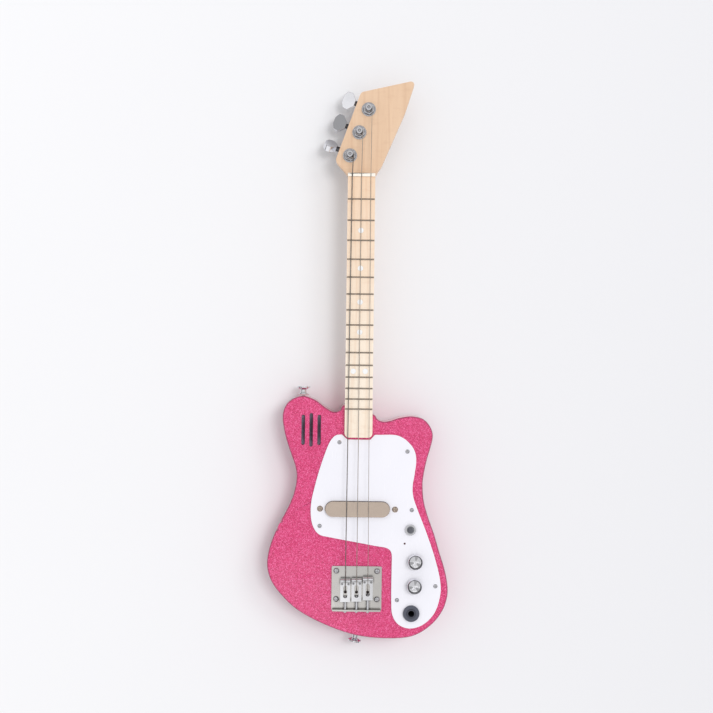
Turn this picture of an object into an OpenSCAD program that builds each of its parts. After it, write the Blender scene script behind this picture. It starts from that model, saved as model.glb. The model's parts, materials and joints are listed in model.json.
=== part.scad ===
// Three-string toy electric guitar with a built-in amplifier and speaker.
// Millimetres. The guitar lies on its back: Z = 0 is the back of the body, Y runs along the
// strings towards the headstock, and the origin is under the middle string at the bridge end
// of the scale.

/* [Overall] */
// Scale length, from the nut to the bridge end of the scale
scale_len = 415; // [400:1:500]
// Width of the body
body_w = 188; // [186:1:226]
// Length of the body
body_len = 251; // [248:1:302]
// Thickness of the body
body_t = 36; // [34:1:44]

/* [Neck] */
// Width of the fretboard at the nut
nut_w = 28.4; // [28:0.1:34]
// Width of the fretboard at the body end
heel_w = 28.8; // [28.4:0.1:34]
// Distance from the bridge end of the scale to the body end of the fretboard
heel_y = 145; // [144.5:0.5:150]
// Thickness of the fretboard
board_t = 4.5; // [4:0.1:6]
// Height of the top of the fretboard above the face of the body
board_rise = 8; // [7:0.1:9]
// Thickness of the neck's wood behind the fretboard
neck_t = 16; // [15:0.5:18]
// Depth of the neck pocket in the body
pocket_depth = 14; // [12:0.5:16]
// Number of frets
fret_count = 15; // [12:1:15]
// Radius of a fret's round crown
fret_r = 0.8; // [0.6:0.1:1]
// Radius of a position dot
dot_r = 2.8; // [2:0.1:3]
// Thickness of the nut along the strings
nut_t = 3.7; // [3:0.1:5]
// Height of the string seats in the nut above the fret tops
nut_action = 0.3; // [0.2:0.1:0.8]

/* [Headstock and tuners] */
// Thickness of the headstock
headstock_t = 14; // [13:0.5:16]
// Drop from the underside of the fretboard to the face of the headstock
headstock_drop = 3; // [2:0.5:4]
// Spacing of the tuner posts
post_pitch = 25.9; // [24:0.1:28]
// Radius of a tuner post
post_r = 3; // [2.6:0.1:3.2]
// Height of a tuner post above the face of the headstock
post_h = 12.5; // [11:0.5:13]
// Radius of the round washer under a tuner bushing
washer_r = 7.4; // [6.5:0.1:8]
// Teeth on the worm wheel
wheel_teeth = 14; // [14:1:14]
// Lead of the worm
worm_lead = 1.3; // [1.3:0.1:1.3]
// Depth of a tuner button along its shaft
button_depth = 13.5; // [12:0.5:15]
// Width of a tuner button
button_w = 18.6; // [16:0.2:19]
// Thickness of a tuner button
button_t = 6.4; // [5:0.2:8]

/* [Strings and bridge] */
// Spacing of the strings at the nut
nut_spacing = 9.6; // [8.5:0.1:10]
// Spacing of the strings at the bridge
bridge_spacing = 11.65; // [11.4:0.05:12.5]
// Radius of the thick string
string_r_1 = 0.5; // [0.3:0.05:0.6]
// Radius of the middle string
string_r_2 = 0.36; // [0.25:0.01:0.5]
// Radius of the thin string
string_r_3 = 0.28; // [0.2:0.01:0.4]
// Height of the saddle crests above the face of the body
saddle_rise = 12; // [11.5:0.1:13]
// Width of the bridge plate
bridge_w = 52; // [50:1:60]
// Length of the bridge plate
bridge_len = 46; // [44:1:52]
// Thickness of the bridge plate
bridge_t = 1.6; // [1.2:0.1:2.5]
// Height of the raised lip at the back of the bridge plate
lip_h = 7; // [6:0.5:8]
// Width of a saddle
saddle_w = 10.3; // [9.5:0.1:10.8]
// Length of a saddle
saddle_len = 24; // [23:0.5:25]
// Travel of a saddle each way from rest
saddle_travel = 2; // [1:0.5:2]

/* [Pickguard and pickup] */
// Thickness of the pickguard
guard_t = 2; // [1.5:0.1:3]
// Length of the pickup cover
pickup_len = 67; // [64:0.5:69]
// Width of the pickup cover
pickup_w = 16; // [15:0.5:17]
// Height of the pickup cover above the pickguard
pickup_rise = 3.5; // [2.5:0.1:5]

/* [Controls] */
// Diameter of a knob
knob_d = 15.4; // [14:0.2:17]
// Height of a knob
knob_h = 10.4; // [9:0.2:12]
// Travel of the power button
power_travel = 1.6; // [1:0.1:2]
// Diameter of the plug that the output jack takes
jack_d = 6.35; // [6.35:0.05:6.35]
// Diameter of the ring nut on the output jack
jack_nut_d = 17; // [15:0.5:18]

/* [Speaker and battery] */
// Diameter of the speaker
speaker_d = 36; // [32:1:36]
// Width of a sound slot
slot_w = 3.6; // [3:0.1:4]
// Length of the middle sound slot
slot_len = 35; // [30:1:36]
// Width of the battery
battery_w = 26.5; // [26:0.5:27]
// Length of the battery
battery_len = 48.5; // [47:0.5:49]
// Thickness of the battery
battery_t = 17.5; // [17:0.5:18]
// Wall of the battery box
box_wall = 1.6; // [1.2:0.1:2]

/* [Strap buttons] */
// Diameter of a strap button's head
strap_head_d = 14.4; // [12:0.2:16]
// Length of a strap button
strap_len = 8.4; // [7:0.2:10]

/* [Hidden] */
$fn = 48;

// Clearances
fit_gap = 0.05;
play = 0.15;
air = 0.3;
past = 1;
join = 0.001;

// Levels
face_z = body_t;
board_top = face_z + board_rise;
board_under = board_top - board_t;
fret_top = board_top + fret_r;
pocket_z = face_z - pocket_depth;
headstock_top = board_under - headstock_drop;
headstock_back = headstock_top - headstock_t;
guard_top = face_z + guard_t;
plate_top = face_z + bridge_t;
crest_z = face_z + saddle_rise;

// Outline of the body, anticlockwise from the bass side of the neck, at a width of 188 and a
// length of 251
body_points = [[-14, 178], [-19, 173], [-26, 171], [-34, 175], [-46, 183.5], [-58.5, 187.2],
    [-70, 183.5], [-77, 175.5], [-79.3, 164], [-76.3, 146], [-70.5, 128], [-65.5, 114],
    [-64, 102], [-66.2, 87.5], [-72, 72], [-80, 56.5], [-87.2, 41], [-92.3, 24.5], [-93.5, 9],
    [-88.8, -6.5], [-77, -22], [-59, -37.5], [-30, -52], [0, -61.5], [30, -64.4], [58, -62],
    [77.5, -50.5], [89.5, -35.5], [94.6, -20.5], [94.6, -7], [91.3, 9], [85.8, 26], [80.2, 44.5],
    [73.8, 62], [69, 79], [67.6, 96], [68.8, 108], [71.8, 122.5], [75.6, 136], [77.6, 147.5],
    [74.6, 157], [67, 164.7], [55, 167.3], [42, 165.4], [33, 162.4], [25.5, 161.4], [19.5, 164],
    [14, 169.5]];
body_scale = [body_w / 188, body_len / 251];

// Outline of the pickguard, clockwise from its corner at the bass side of the neck
guard_points = [[-22, 147.2], [-12, 147.5], [4, 147.6], [22, 147.8], [38, 147.8], [47, 144.5],
    [54.5, 138], [59, 130.5], [60.4, 121], [59, 108], [57, 95], [57.8, 84], [62.4, 70.5],
    [72, 46.5], [81, 20.5], [86.6, -2], [87, -18], [81.5, -36], [70, -48.5], [56, -53],
    [44, -49], [37.4, -38.8], [36.2, -24], [36.1, -6], [36.2, 12], [35.8, 25], [31, 30.2],
    [20, 32.2], [-5, 36.6], [-28, 40.7], [-39.5, 43.6], [-46, 52], [-48.5, 64], [-48, 78],
    [-44.8, 93], [-41, 107.5], [-36.8, 121], [-31.6, 135.5], [-27.4, 143.2]];
notch_points = [[-18.5, 149], [-11.8, 142.9], [-11, 142.6], [12, 142.6], [12.8, 142.9],
    [18.3, 149]];
guard_screws = [[-19.6, 139.6], [51.2, 130.8], [-39.2, 52.4], [56.4, 70], [42.1, -23.7],
    [81.9, -8.8]];

// Outline of the headstock: X, distance from the nut, corner radius
headstock_points = [[-14.2, 0, 0], [-14.3, 2.5, 3], [-27.6, 17.2, 5.5], [-1.6, 88.8, 5],
    [55.2, 101.8, 3.4], [44.5, 68, 60], [20.6, 12, 12], [14.2, 2.5, 3], [14.2, 0, 0]];

// Controls on the pickguard
power_at = [55.3, 49.6];
led_at = [49.4, 35.1];
volume_at = [60.6, 16.9];
drive_at = [60, -8.3];
jack_at = [57, -37.2];

// Cavities
cavity_depth = 26;
cavity_z = face_z - cavity_depth;
cavity_points = [[46, 63, 1], [60, 63, 8], [76, 12, 12], [76, -20, 12], [69, -47, 8],
    [46, -47, 4]];
pickup_y = 70.4;
pickup_cavity_depth = 14;
pickup_cavity = [[-44.5, 81.5, 5], [52, 81.5, 5], [52, 59.5, 1], [-44.5, 59.5, 5]];

// Steps along the arc of a rounded corner, and between two points of a curve
arc_steps = 6;
spline_steps = 6;

function spline_point(a, b, c, d, t) =
    ((2 * b) + (c - a) * t + (2 * a - 5 * b + 4 * c - d) * t * t
    + (3 * b - a - 3 * c + d) * t * t * t) / 2;
function spline(points) = let (n = len(points)) [for (i = [0:n - 1], j = [0:spline_steps - 1])
    spline_point(points[(i + n - 1) % n], points[i], points[(i + 1) % n], points[(i + 2) % n],
        j / spline_steps)];

function unit(v) = v / norm(v);
function flat(p) = [p[0], p[1]];
function turn(a) = (a + 540) % 360 - 180;
function corner_arc(before, at, after, r) = let (
    u = unit(before - at),
    v = unit(after - at),
    half = acos(u * v) / 2,
    centre = at + unit(u + v) * r / sin(half),
    start = at + u * r / tan(half) - centre,
    end = at + v * r / tan(half) - centre,
    first = atan2(start.y, start.x),
    sweep = turn(atan2(end.y, end.x) - first))
    [for (i = [0:arc_steps]) centre + r * [cos(first + sweep * i / arc_steps),
        sin(first + sweep * i / arc_steps)]];
function rounded(points) = let (n = len(points)) [for (i = [0:n - 1])
    each (points[i][2] == 0 ? [flat(points[i])]
        : corner_arc(flat(points[(i + n - 1) % n]), flat(points[i]),
            flat(points[(i + 1) % n]), points[i][2]))];
function box_points(w, l, r) = rounded([[-w / 2, -l / 2, r], [w / 2, -l / 2, r],
    [w / 2, l / 2, r], [-w / 2, l / 2, r]]);

// A round bar between two points
module rod(a, b, r) {
    d = b - a;
    translate(a)
        rotate([0, acos(d.z / norm(d)), atan2(d.y, d.x)])
            cylinder(h = norm(d), r = r, $fn = 24);
}

// A round tube along a list of points, with mitred corners
tube_sides = 12;
function way(points, i) = let (
    last = len(points) - 1,
    before = i > 0 ? unit(points[i] - points[i - 1]) : unit(points[1] - points[0]),
    after = i < last ? unit(points[i + 1] - points[i]) : before)
    unit(before + after);
function across(v, t) = unit(v - (v * t) * t);
function side_of(points, i) = i == 0
    ? across(abs(way(points, 0).x) < 0.9 ? [1, 0, 0] : [0, 1, 0], way(points, 0))
    : across(side_of(points, i - 1), way(points, i));
module tube(points, r) {
    n = tube_sides;
    last = len(points) - 1;
    rings = [for (i = [0:last])
        let (t = way(points, i), u = side_of(points, i), v = cross(t, u))
        for (k = [0:n - 1])
            points[i] + r * (cos(360 * k / n) * u + sin(360 * k / n) * v)];
    walls = [for (i = [0:last - 1], k = [0:n - 1])
        [i * n + k, (i + 1) * n + k, (i + 1) * n + (k + 1) % n, i * n + (k + 1) % n]];
    polyhedron(rings, concat(walls, [[for (k = [0:n - 1]) k]],
        [[for (k = [n - 1:-1:0]) last * n + k]]));
}

module stadium(length, w, h) {
    translate([-(length - w) / 2, -w / 2, 0]) cube([length - w, w, h]);
    for (side = [-1, 1])
        translate([side * (length - w) / 2, 0, 0]) cylinder(h = h, r = w / 2);
}

// A cross recess that opens upwards
module cross_recess(size, depth) {
    for (a = [0, 90])
        rotate([0, 0, a])
            translate([-size / 2, -size / 8, -depth]) cube([size, size / 4, depth + past]);
}

// A screw with a domed head on Z = 0 and its shank below
module dome_screw(head_r, head_h, shank_r, length) {
    dome_r = (head_r * head_r + head_h * head_h) / (2 * head_h);
    difference() {
        union() {
            intersection() {
                cylinder(h = head_h, r = head_r);
                translate([0, 0, head_h - dome_r]) sphere(r = dome_r);
            }
            translate([0, 0, -length]) cylinder(h = length + head_h / 4, r = shank_r, $fn = 24);
        }
        translate([0, 0, head_h]) cross_recess(head_r, head_h * 0.6);
    }
}

// A countersunk screw with its head's flat top on Z = 0, facing down, and its shank above
flat_cone = 0.9;
module flat_screw(head_r, shank_r, length) {
    difference() {
        union() {
            cylinder(h = (head_r - shank_r) * flat_cone, r1 = head_r, r2 = shank_r);
            cylinder(h = length, r = shank_r, $fn = 24);
        }
        rotate([180, 0, 0]) cross_recess(head_r, head_r / 3);
    }
}
module flat_screw_hole(head_r, shank_r, length) {
    grown = head_r + fit_gap;
    cylinder(h = (head_r - shank_r) * flat_cone, r1 = grown, r2 = shank_r + fit_gap);
    cylinder(h = length + fit_gap, r = shank_r + fit_gap, $fn = 24);
    translate([0, 0, -past]) cylinder(h = past + join, r = grown);
}

// ---- Neck ----

function neck_half(y) = (heel_w + (nut_w - heel_w) * (y - heel_y) / (scale_len - heel_y)) / 2;
heel_round = 4.5;
function board_plan(end, gap) = rounded([[-neck_half(heel_y) - gap, heel_y - gap, heel_round],
    [neck_half(heel_y) + gap, heel_y - gap, heel_round],
    [neck_half(end) + gap, end, 0], [-neck_half(end) - gap, end, 0]]);
function fret_y(n) = scale_len * pow(2, -n / 12);
function headstock_outline() = rounded([for (p = headstock_points)
    [p[0], p[1] + scale_len, p[2]]]);

neck_screw_x = 8.5;
neck_screw_rows = [151.5, 163];
neck_screw_r = 1.9;
neck_screw_head_r = 3.8;
neck_screw_bite = 12;
neck_plate_w = 26;
neck_plate_len = 20;
neck_plate_t = 2;
back_inset = 0.3;
neck_plate_at = [0, (neck_screw_rows[0] + neck_screw_rows[1]) / 2, back_inset];
neck_screw_len = pocket_z - back_inset + neck_screw_bite;

module at_neck_screws() {
    for (x = [-neck_screw_x, neck_screw_x], y = neck_screw_rows)
        translate([x, y, back_inset]) children();
}

heel_len = 38;
heel_slope = 10;
scoop_len = 7;
profile_steps = 20;
profile_power = 0.72;
profile_spare = 0.3;
module neck() {
    color("burlywood")
    difference() {
        union() {
            // Round-backed shaft
            intersection() {
                translate([0, scale_len + nut_t, board_under])
                    rotate([90, 0, 0])
                        linear_extrude(scale_len + nut_t - heel_y - heel_len)
                            polygon([for (i = [0:profile_steps])
                                let (a = 180 * i / profile_steps)
                                [(heel_w / 2 + profile_spare) * cos(a),
                                    -neck_t * pow(sin(a), profile_power)]]);
                linear_extrude(board_top) polygon(board_plan(scale_len + nut_t, 0));
            }
            // Square heel with a sloped end
            intersection() {
                linear_extrude(board_under) polygon(board_plan(scale_len + nut_t, 0));
                translate([-heel_w, 0, 0])
                    rotate([90, 0, 90])
                        linear_extrude(2 * heel_w)
                            polygon([[0, pocket_z], [heel_y + heel_len, pocket_z],
                                [heel_y + heel_len + heel_slope, board_under],
                                [0, board_under]]);
            }
            translate([0, 0, headstock_back])
                linear_extrude(headstock_t) polygon(headstock_outline());
            // Scoop between the nut and the face of the headstock
            intersection() {
                linear_extrude(board_top) polygon(headstock_outline());
                translate([-nut_w, 0, 0])
                    rotate([90, 0, 90])
                        linear_extrude(2 * nut_w)
                            polygon([[scale_len, headstock_back], [scale_len, board_under],
                                [scale_len + nut_t, board_under],
                                [scale_len + nut_t + scoop_len / 3,
                                    headstock_top + headstock_drop / 3],
                                [scale_len + nut_t + scoop_len, headstock_top],
                                [scale_len + nut_t + scoop_len, headstock_back]]);
            }
        }
        at_neck_screws() cylinder(h = neck_screw_len + play, r = neck_screw_r + fit_gap);
        at_tuners() {
            translate([0, 0, headstock_back - past])
                cylinder(h = headstock_t + 2 * past, r = sleeve_r + fit_gap);
            translate([-ear_x, 0, ear_z])
                cylinder(h = small_screw_len + play, r = small_screw_r + fit_gap, $fn = 24);
        }
    }
}

fret_tang = 0.5;
fret_tang_depth = 2;
fret_inset = 0.4;
module fretboard() {
    color("wheat")
    difference() {
        translate([0, 0, board_under]) linear_extrude(board_t) polygon(board_plan(scale_len, 0));
        for (n = [1:fret_count])
            translate([-heel_w, fret_y(n) - fret_tang / 2 - fit_gap, board_top - fret_tang_depth])
                cube([2 * heel_w, fret_tang + 2 * fit_gap, fret_tang_depth + past]);
        at_dots() translate([0, 0, -dot_t]) cylinder(h = dot_t + past, r = dot_r + fit_gap);
    }
}

module frets() {
    color("silver")
    for (n = [1:fret_count])
        translate([fret_inset - neck_half(fret_y(n)), fret_y(n), board_top])
            rotate([90, 0, 90])
                linear_extrude(2 * (neck_half(fret_y(n)) - fret_inset)) {
                    intersection() {
                        circle(r = fret_r);
                        translate([-fret_r, 0]) square([2 * fret_r, fret_r]);
                    }
                    translate([-fret_tang / 2, -fret_tang_depth + fit_gap])
                        square([fret_tang, fret_tang_depth]);
                }
}

dot_t = 1.2;
double_dot_x = 6.2;
module at_dots() {
    for (n = [3, 5, 7, 9])
        translate([0, (fret_y(n - 1) + fret_y(n)) / 2, board_top]) children();
    for (x = [-double_dot_x, double_dot_x])
        translate([x, (fret_y(11) + fret_y(12)) / 2, board_top]) children();
}
module fret_markers() {
    color("white")
    at_dots() translate([0, 0, fit_gap - dot_t]) cylinder(h = dot_t - fit_gap, r = dot_r);
}

nut_rise = 1.2;
module nut() {
    color("ivory")
    difference() {
        translate([-nut_w / 2, 0, 0])
            rotate([90, 0, 90])
                linear_extrude(nut_w)
                    polygon([[scale_len, board_under], [scale_len + nut_t, board_under],
                        [scale_len + nut_t, fret_top],
                        [scale_len + nut_t * 0.6, fret_top + nut_rise],
                        [scale_len, fret_top + nut_rise]]);
        // String slots that follow the bend over the nut
        for (i = [0:2]) {
            slot_r = string_r[i] + fit_gap;
            front = string_at(i, scale_len - past);
            bend = nut_bend(i);
            back = bend + (post_end(i) - bend) * nut_t / (post_end(i).y - bend.y);
            translate([bend.x - slot_r - string_lead, 0, 0])
                rotate([90, 0, 90])
                    linear_extrude(2 * (slot_r + string_lead))
                        polygon([[front.y, front.z - slot_r], [bend.y, bend.z - slot_r],
                            [back.y, back.z - slot_r], [back.y, bend.z + nut_t],
                            [front.y, bend.z + nut_t]]);
        }
    }
}

module neck_plate() {
    color("silver")
    difference() {
        translate(neck_plate_at)
            linear_extrude(neck_plate_t) polygon(box_points(neck_plate_w, neck_plate_len, 3));
        at_neck_screws() flat_screw_hole(neck_screw_head_r, neck_screw_r, neck_screw_len);
    }
}

module neck_screws() {
    color("silver")
    at_neck_screws() flat_screw(neck_screw_head_r, neck_screw_r, neck_screw_len);
}

// ---- Body ----

function body_outline() = spline([for (p = body_points)
    [p[0] * body_scale[0], p[1] * body_scale[1]]]);
slot_at = [-49.2, 152];
slot_pitch = 8.3;
side_slot_len = slot_len - 3.5;
face_wall = 4;
speaker_r = speaker_d / 2;
cover_r = speaker_r + 6;
cover_t = 2;
cover_screw_r = speaker_r + 3.2;
box_at = [-50, 14];
battery_room = [2.3, 4.3, 3];
box_w = battery_w + battery_room.x + 2 * box_wall;
box_len = battery_len + battery_room.y + 2 * box_wall;
box_corner_r = 2;
box_depth = battery_t + battery_room.z + box_wall;

small_screw_r = 1.2;
small_screw_head_r = 2.4;
small_screw_len = 9;
guard_screw_r = 1.3;
guard_screw_head_r = 2.3;
guard_screw_head_h = 1.3;
guard_screw_len = 12;
bridge_screw_r = 1.6;
bridge_screw_len = 16;
bridge_screw_at = [[-21.2, 6], [21.2, 6], [-21.2, -23.2], [21.2, -23.2]];
string_hole_r = 1.6;
string_hole_y = -15.8;
ferrule_r = 4;
ferrule_flange_r = 4.8;
ferrule_h = 9;
ferrule_flange_h = 1.2;
lead_channel_r = 2;
lead_r = 1.2;

module body() {
    color("hotpink")
    difference() {
        linear_extrude(body_t) polygon(body_outline());
        // Neck pocket, open at the edge of the body
        translate([0, 0, pocket_z])
            linear_extrude(body_t) polygon(board_plan(body_len, play));
        // Cavities under the pickguard
        translate([0, 0, cavity_z]) linear_extrude(body_t) polygon(rounded(cavity_points));
        translate([0, 0, face_z - pickup_cavity_depth])
            linear_extrude(body_t) polygon(rounded(pickup_cavity));
        // Speaker chamber with its slots and cover seat
        translate([slot_at.x, slot_at.y, -past])
            cylinder(h = body_t - face_wall + past, r = speaker_r + play);
        translate([slot_at.x, slot_at.y, -past])
            cylinder(h = past + back_inset + cover_t, r = cover_r + play);
        for (i = [-1:1])
            translate([slot_at.x + i * slot_pitch, slot_at.y, face_z - face_wall - past])
                rotate([0, 0, 90])
                    stadium(i == 0 ? slot_len : side_slot_len, slot_w, face_wall + 2 * past);
        at_cover_screws() cylinder(h = small_screw_len + play, r = small_screw_r + fit_gap);
        // Battery bay
        translate([box_at.x, box_at.y, -past])
            linear_extrude(box_depth + back_inset + past)
                polygon(box_points(box_w + 2 * play, box_len + 2 * play, box_corner_r));
        // Neck plate seat and screw holes
        translate([neck_plate_at.x, neck_plate_at.y, -past])
            linear_extrude(past + back_inset + neck_plate_t)
                polygon(box_points(neck_plate_w + 2 * play, neck_plate_len + 2 * play, 3));
        at_neck_screws() cylinder(h = body_t, r = neck_screw_r + fit_gap);
        // Strings and ferrules
        for (i = [0:2])
            translate([string_x(i, 0), string_hole_y, -past]) {
                cylinder(h = body_t + 2 * past, r = string_hole_r);
                cylinder(h = past + back_inset + ferrule_h + fit_gap, r = ferrule_r + fit_gap);
                cylinder(h = past + back_inset + ferrule_flange_h,
                    r = ferrule_flange_r + fit_gap);
            }
        for (p = bridge_screw_at)
            translate([p.x, p.y, face_z - bridge_screw_len])
                cylinder(h = body_t, r = bridge_screw_r + fit_gap, $fn = 24);
        for (p = guard_screws)
            translate([p.x, p.y, face_z - guard_screw_len])
                cylinder(h = body_t, r = guard_screw_r + fit_gap, $fn = 24);
        at_strap_buttons()
            translate([0, 0, -strap_screw_bite])
                cylinder(h = strap_screw_bite + past, r = strap_screw_r + fit_gap, $fn = 24);
        // Channels for the leads
        rod(speaker_lead[1], speaker_lead[2], lead_channel_r);
        rod(battery_lead[0], battery_lead[1] + [past, 0, 0], lead_channel_r);
        rod(battery_lead[1], battery_lead[2], lead_channel_r);
    }
}

// ---- Strap buttons ----

strap_felt_t = 1;
strap_felt_r = strap_head_d * 0.42;
strap_foot_t = 1.2;
strap_foot_r = strap_head_d * 0.35;
strap_waist_len = strap_len * 0.45;
strap_waist_low_r = strap_head_d * 0.24;
strap_waist_r = strap_head_d * 0.22;
strap_rim_t = 1.6;
strap_seat_depth = 1.9;
strap_screw_head_h = 1.5;
strap_screw_r = 1.5;
strap_screw_bite = 16;
strap_end_tilt = 11;
strap_lift = 0.4;
strap_top_at = [-58.5 * body_scale[0], 187.2 * body_scale[1]];
strap_end_at = [0, -61.5 * body_scale[1]];
module at_strap_buttons() {
    translate([strap_top_at.x, strap_top_at.y + strap_lift, body_t / 2])
        rotate([-90, 0, 0]) children();
    translate([strap_end_at.x, strap_end_at.y - strap_lift, body_t / 2])
        rotate([90, 0, -strap_end_tilt]) children();
}
module strap_buttons() {
    color("silver")
    at_strap_buttons()
        translate([0, 0, strap_felt_t])
            difference() {
                union() {
                    cylinder(h = strap_foot_t, r = strap_foot_r);
                    translate([0, 0, strap_foot_t])
                        cylinder(h = strap_waist_len, r1 = strap_waist_low_r, r2 = strap_waist_r);
                    translate([0, 0, strap_foot_t + strap_waist_len])
                        cylinder(h = strap_len - strap_foot_t - strap_waist_len - strap_rim_t,
                            r1 = strap_waist_r, r2 = strap_head_d / 2);
                    translate([0, 0, strap_len - strap_rim_t])
                        cylinder(h = strap_rim_t, r = strap_head_d / 2);
                }
                translate([0, 0, -past])
                    cylinder(h = strap_len + 2 * past, r = strap_screw_r + fit_gap, $fn = 24);
                translate([0, 0, strap_len - strap_seat_depth])
                    cylinder(h = strap_seat_depth + past, r = strap_screw_head_r + fit_gap);
            }
}
module strap_washers() {
    color("gainsboro")
    at_strap_buttons()
        difference() {
            cylinder(h = strap_felt_t, r = strap_felt_r);
            translate([0, 0, -past])
                cylinder(h = strap_felt_t + 2 * past, r = strap_screw_r + fit_gap, $fn = 24);
        }
}
strap_screw_head_r = 3;
module strap_screws() {
    color("silver")
    at_strap_buttons()
        translate([0, 0, strap_felt_t + strap_len - strap_seat_depth + fit_gap])
            dome_screw(strap_screw_head_r, strap_screw_head_h, strap_screw_r,
                strap_len + strap_felt_t - strap_seat_depth + strap_screw_bite - play);
}

// ---- Pickguard ----

module pickguard() {
    color("white")
    difference() {
        translate([0, 0, face_z])
            linear_extrude(guard_t)
                difference() {
                    polygon(spline(guard_points));
                    polygon(notch_points);
                }
        for (p = guard_screws)
            translate([p.x, p.y, face_z - past])
                cylinder(h = guard_t + 2 * past, r = guard_screw_r + fit_gap, $fn = 24);
        translate([0, pickup_y, face_z - past])
            stadium(pickup_len + 2 * air, pickup_w + 2 * air, guard_t + 2 * past);
        for (side = [-1, 1])
            translate([side * pickup_screw_x, pickup_y, face_z - past])
                cylinder(h = guard_t + 2 * past, r = pickup_screw_r + play, $fn = 24);
        for (p = [power_at, volume_at, drive_at])
            translate([p.x, p.y, face_z - past])
                cylinder(h = guard_t + 2 * past, r = bushing_r + fit_gap);
        translate([led_at.x, led_at.y, face_z - past])
            cylinder(h = guard_t + 2 * past, r = led_r + fit_gap, $fn = 24);
        translate([jack_at.x, jack_at.y, face_z - past])
            cylinder(h = guard_t + 2 * past, r = jack_bushing_r + fit_gap);
    }
}
module pickguard_screws() {
    color("silver")
    for (p = guard_screws)
        translate([p.x, p.y, guard_top])
            dome_screw(guard_screw_head_r, guard_screw_head_h, guard_screw_r,
                guard_t + guard_screw_len - play);
}

// ---- Pickup ----

pickup_wall = 0.8;
pickup_screw_x = 39;
pickup_screw_r = 1.45;
pickup_screw_head_r = 3.2;
pickup_screw_head_h = 1.8;
pickup_screw_end = 3;
spring_r = 2.5;
flange_inset = 4;
coil_inset = 4.5;
pickup_base_drop = 6;
pickup_base_t = 1.5;
pickup_base_z = face_z - pickup_base_drop;
ear_half = 43;
ear_w = 8;
coil_gap = 0.1;
bobbin_top_z = guard_top + pickup_rise - pickup_wall - air;
bobbin_flange_t = 1.2;
core_len = 58;
core_w = 4.6;
magnet_len = 50;
magnet_w = 2.4;
module pickup_cover() {
    color("silver")
    translate([0, pickup_y, 0])
        difference() {
            translate([0, 0, pickup_base_z + pickup_base_t])
                stadium(pickup_len, pickup_w,
                    guard_top + pickup_rise - pickup_base_z - pickup_base_t);
            translate([0, 0, pickup_base_z])
                stadium(pickup_len - 2 * pickup_wall, pickup_w - 2 * pickup_wall,
                    guard_top + pickup_rise - pickup_wall - pickup_base_z);
        }
}
module pickup_bobbin() {
    color("dimgray")
    translate([0, pickup_y, 0])
        difference() {
            union() {
                translate([0, 0, pickup_base_z]) stadium(pickup_len, pickup_w, pickup_base_t);
                translate([0, 0, pickup_base_z]) stadium(2 * ear_half, ear_w, pickup_base_t);
                translate([-core_len / 2, -core_w / 2, pickup_base_z])
                    cube([core_len, core_w, bobbin_top_z - pickup_base_z]);
                translate([0, 0, bobbin_top_z - bobbin_flange_t])
                    stadium(pickup_len - flange_inset, pickup_w - flange_inset, bobbin_flange_t);
            }
            translate([-magnet_len / 2 - fit_gap, -magnet_w / 2 - fit_gap,
                pickup_base_z + pickup_base_t])
                cube([magnet_len + 2 * fit_gap, magnet_w + 2 * fit_gap, body_t]);
            for (side = [-1, 1])
                translate([side * pickup_screw_x, 0, pickup_base_z - past])
                    cylinder(h = pickup_base_t + 2 * past, r = pickup_screw_r + fit_gap,
                        $fn = 24);
        }
}
module pickup_coil() {
    color("saddlebrown")
    translate([0, pickup_y, pickup_base_z + pickup_base_t])
        difference() {
            stadium(pickup_len - coil_inset, pickup_w - coil_inset,
                bobbin_top_z - bobbin_flange_t - pickup_base_z - pickup_base_t - coil_gap);
            translate([-core_len / 2 - coil_gap, -core_w / 2 - coil_gap, -past])
                cube([core_len + 2 * coil_gap, core_w + 2 * coil_gap, body_t]);
        }
}
module pickup_magnet() {
    color("gray")
    translate([-magnet_len / 2, pickup_y - magnet_w / 2, pickup_base_z + pickup_base_t])
        cube([magnet_len, magnet_w, bobbin_top_z - pickup_base_z - pickup_base_t - fit_gap]);
}
module pickup_screws() {
    color("silver")
    for (side = [-1, 1])
        translate([side * pickup_screw_x, pickup_y, guard_top])
            dome_screw(pickup_screw_head_r, pickup_screw_head_h, pickup_screw_r,
                guard_top - pickup_base_z + pickup_screw_end);
}
module pickup_springs() {
    color("gray")
    for (side = [-1, 1])
        translate([side * pickup_screw_x, pickup_y, pickup_base_z + pickup_base_t])
            difference() {
                cylinder(h = face_z - pickup_base_z - pickup_base_t, r = spring_r, $fn = 24);
                translate([0, 0, -past])
                    cylinder(h = body_t, r = pickup_screw_r + air, $fn = 24);
            }
}

// ---- Bridge ----

string_r = [string_r_1, string_r_2, string_r_3];
bridge_front = 11;
bridge_back = bridge_front - bridge_len;
saddle_front = [-1.2, -0.6, 0.9];
bridge_corner_r = 1.5;
lip_inset = 1;
bridge_screw_head_r = 3;
bridge_screw_head_h = 1.8;
height_screw_drop = 0.6;
height_screw_socket = 2;
block_short = 0.4;
screw_tip_spare = 0.6;
saddle_lift = 1;
saddle_body_h = 5;
saddle_plate_t = 1.5;
crest_r = 1.4;
crest_gap = 0.1;
leg_len = 2.6;
saddle_slot_w = 4.2;
saddle_slot_len = 13;
saddle_slot_start = 7;
height_screw_x = 3.4;
height_screw_back = 5.2;
height_screw_r = 1.25;
intonation_r = 1.45;
intonation_z = plate_top + 2.8;
intonation_head_r = 2.5;
intonation_head_h = 2;

function string_x(i, y) = (i - 1) * (bridge_spacing
    + (nut_spacing - bridge_spacing) * y / scale_len);

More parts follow.
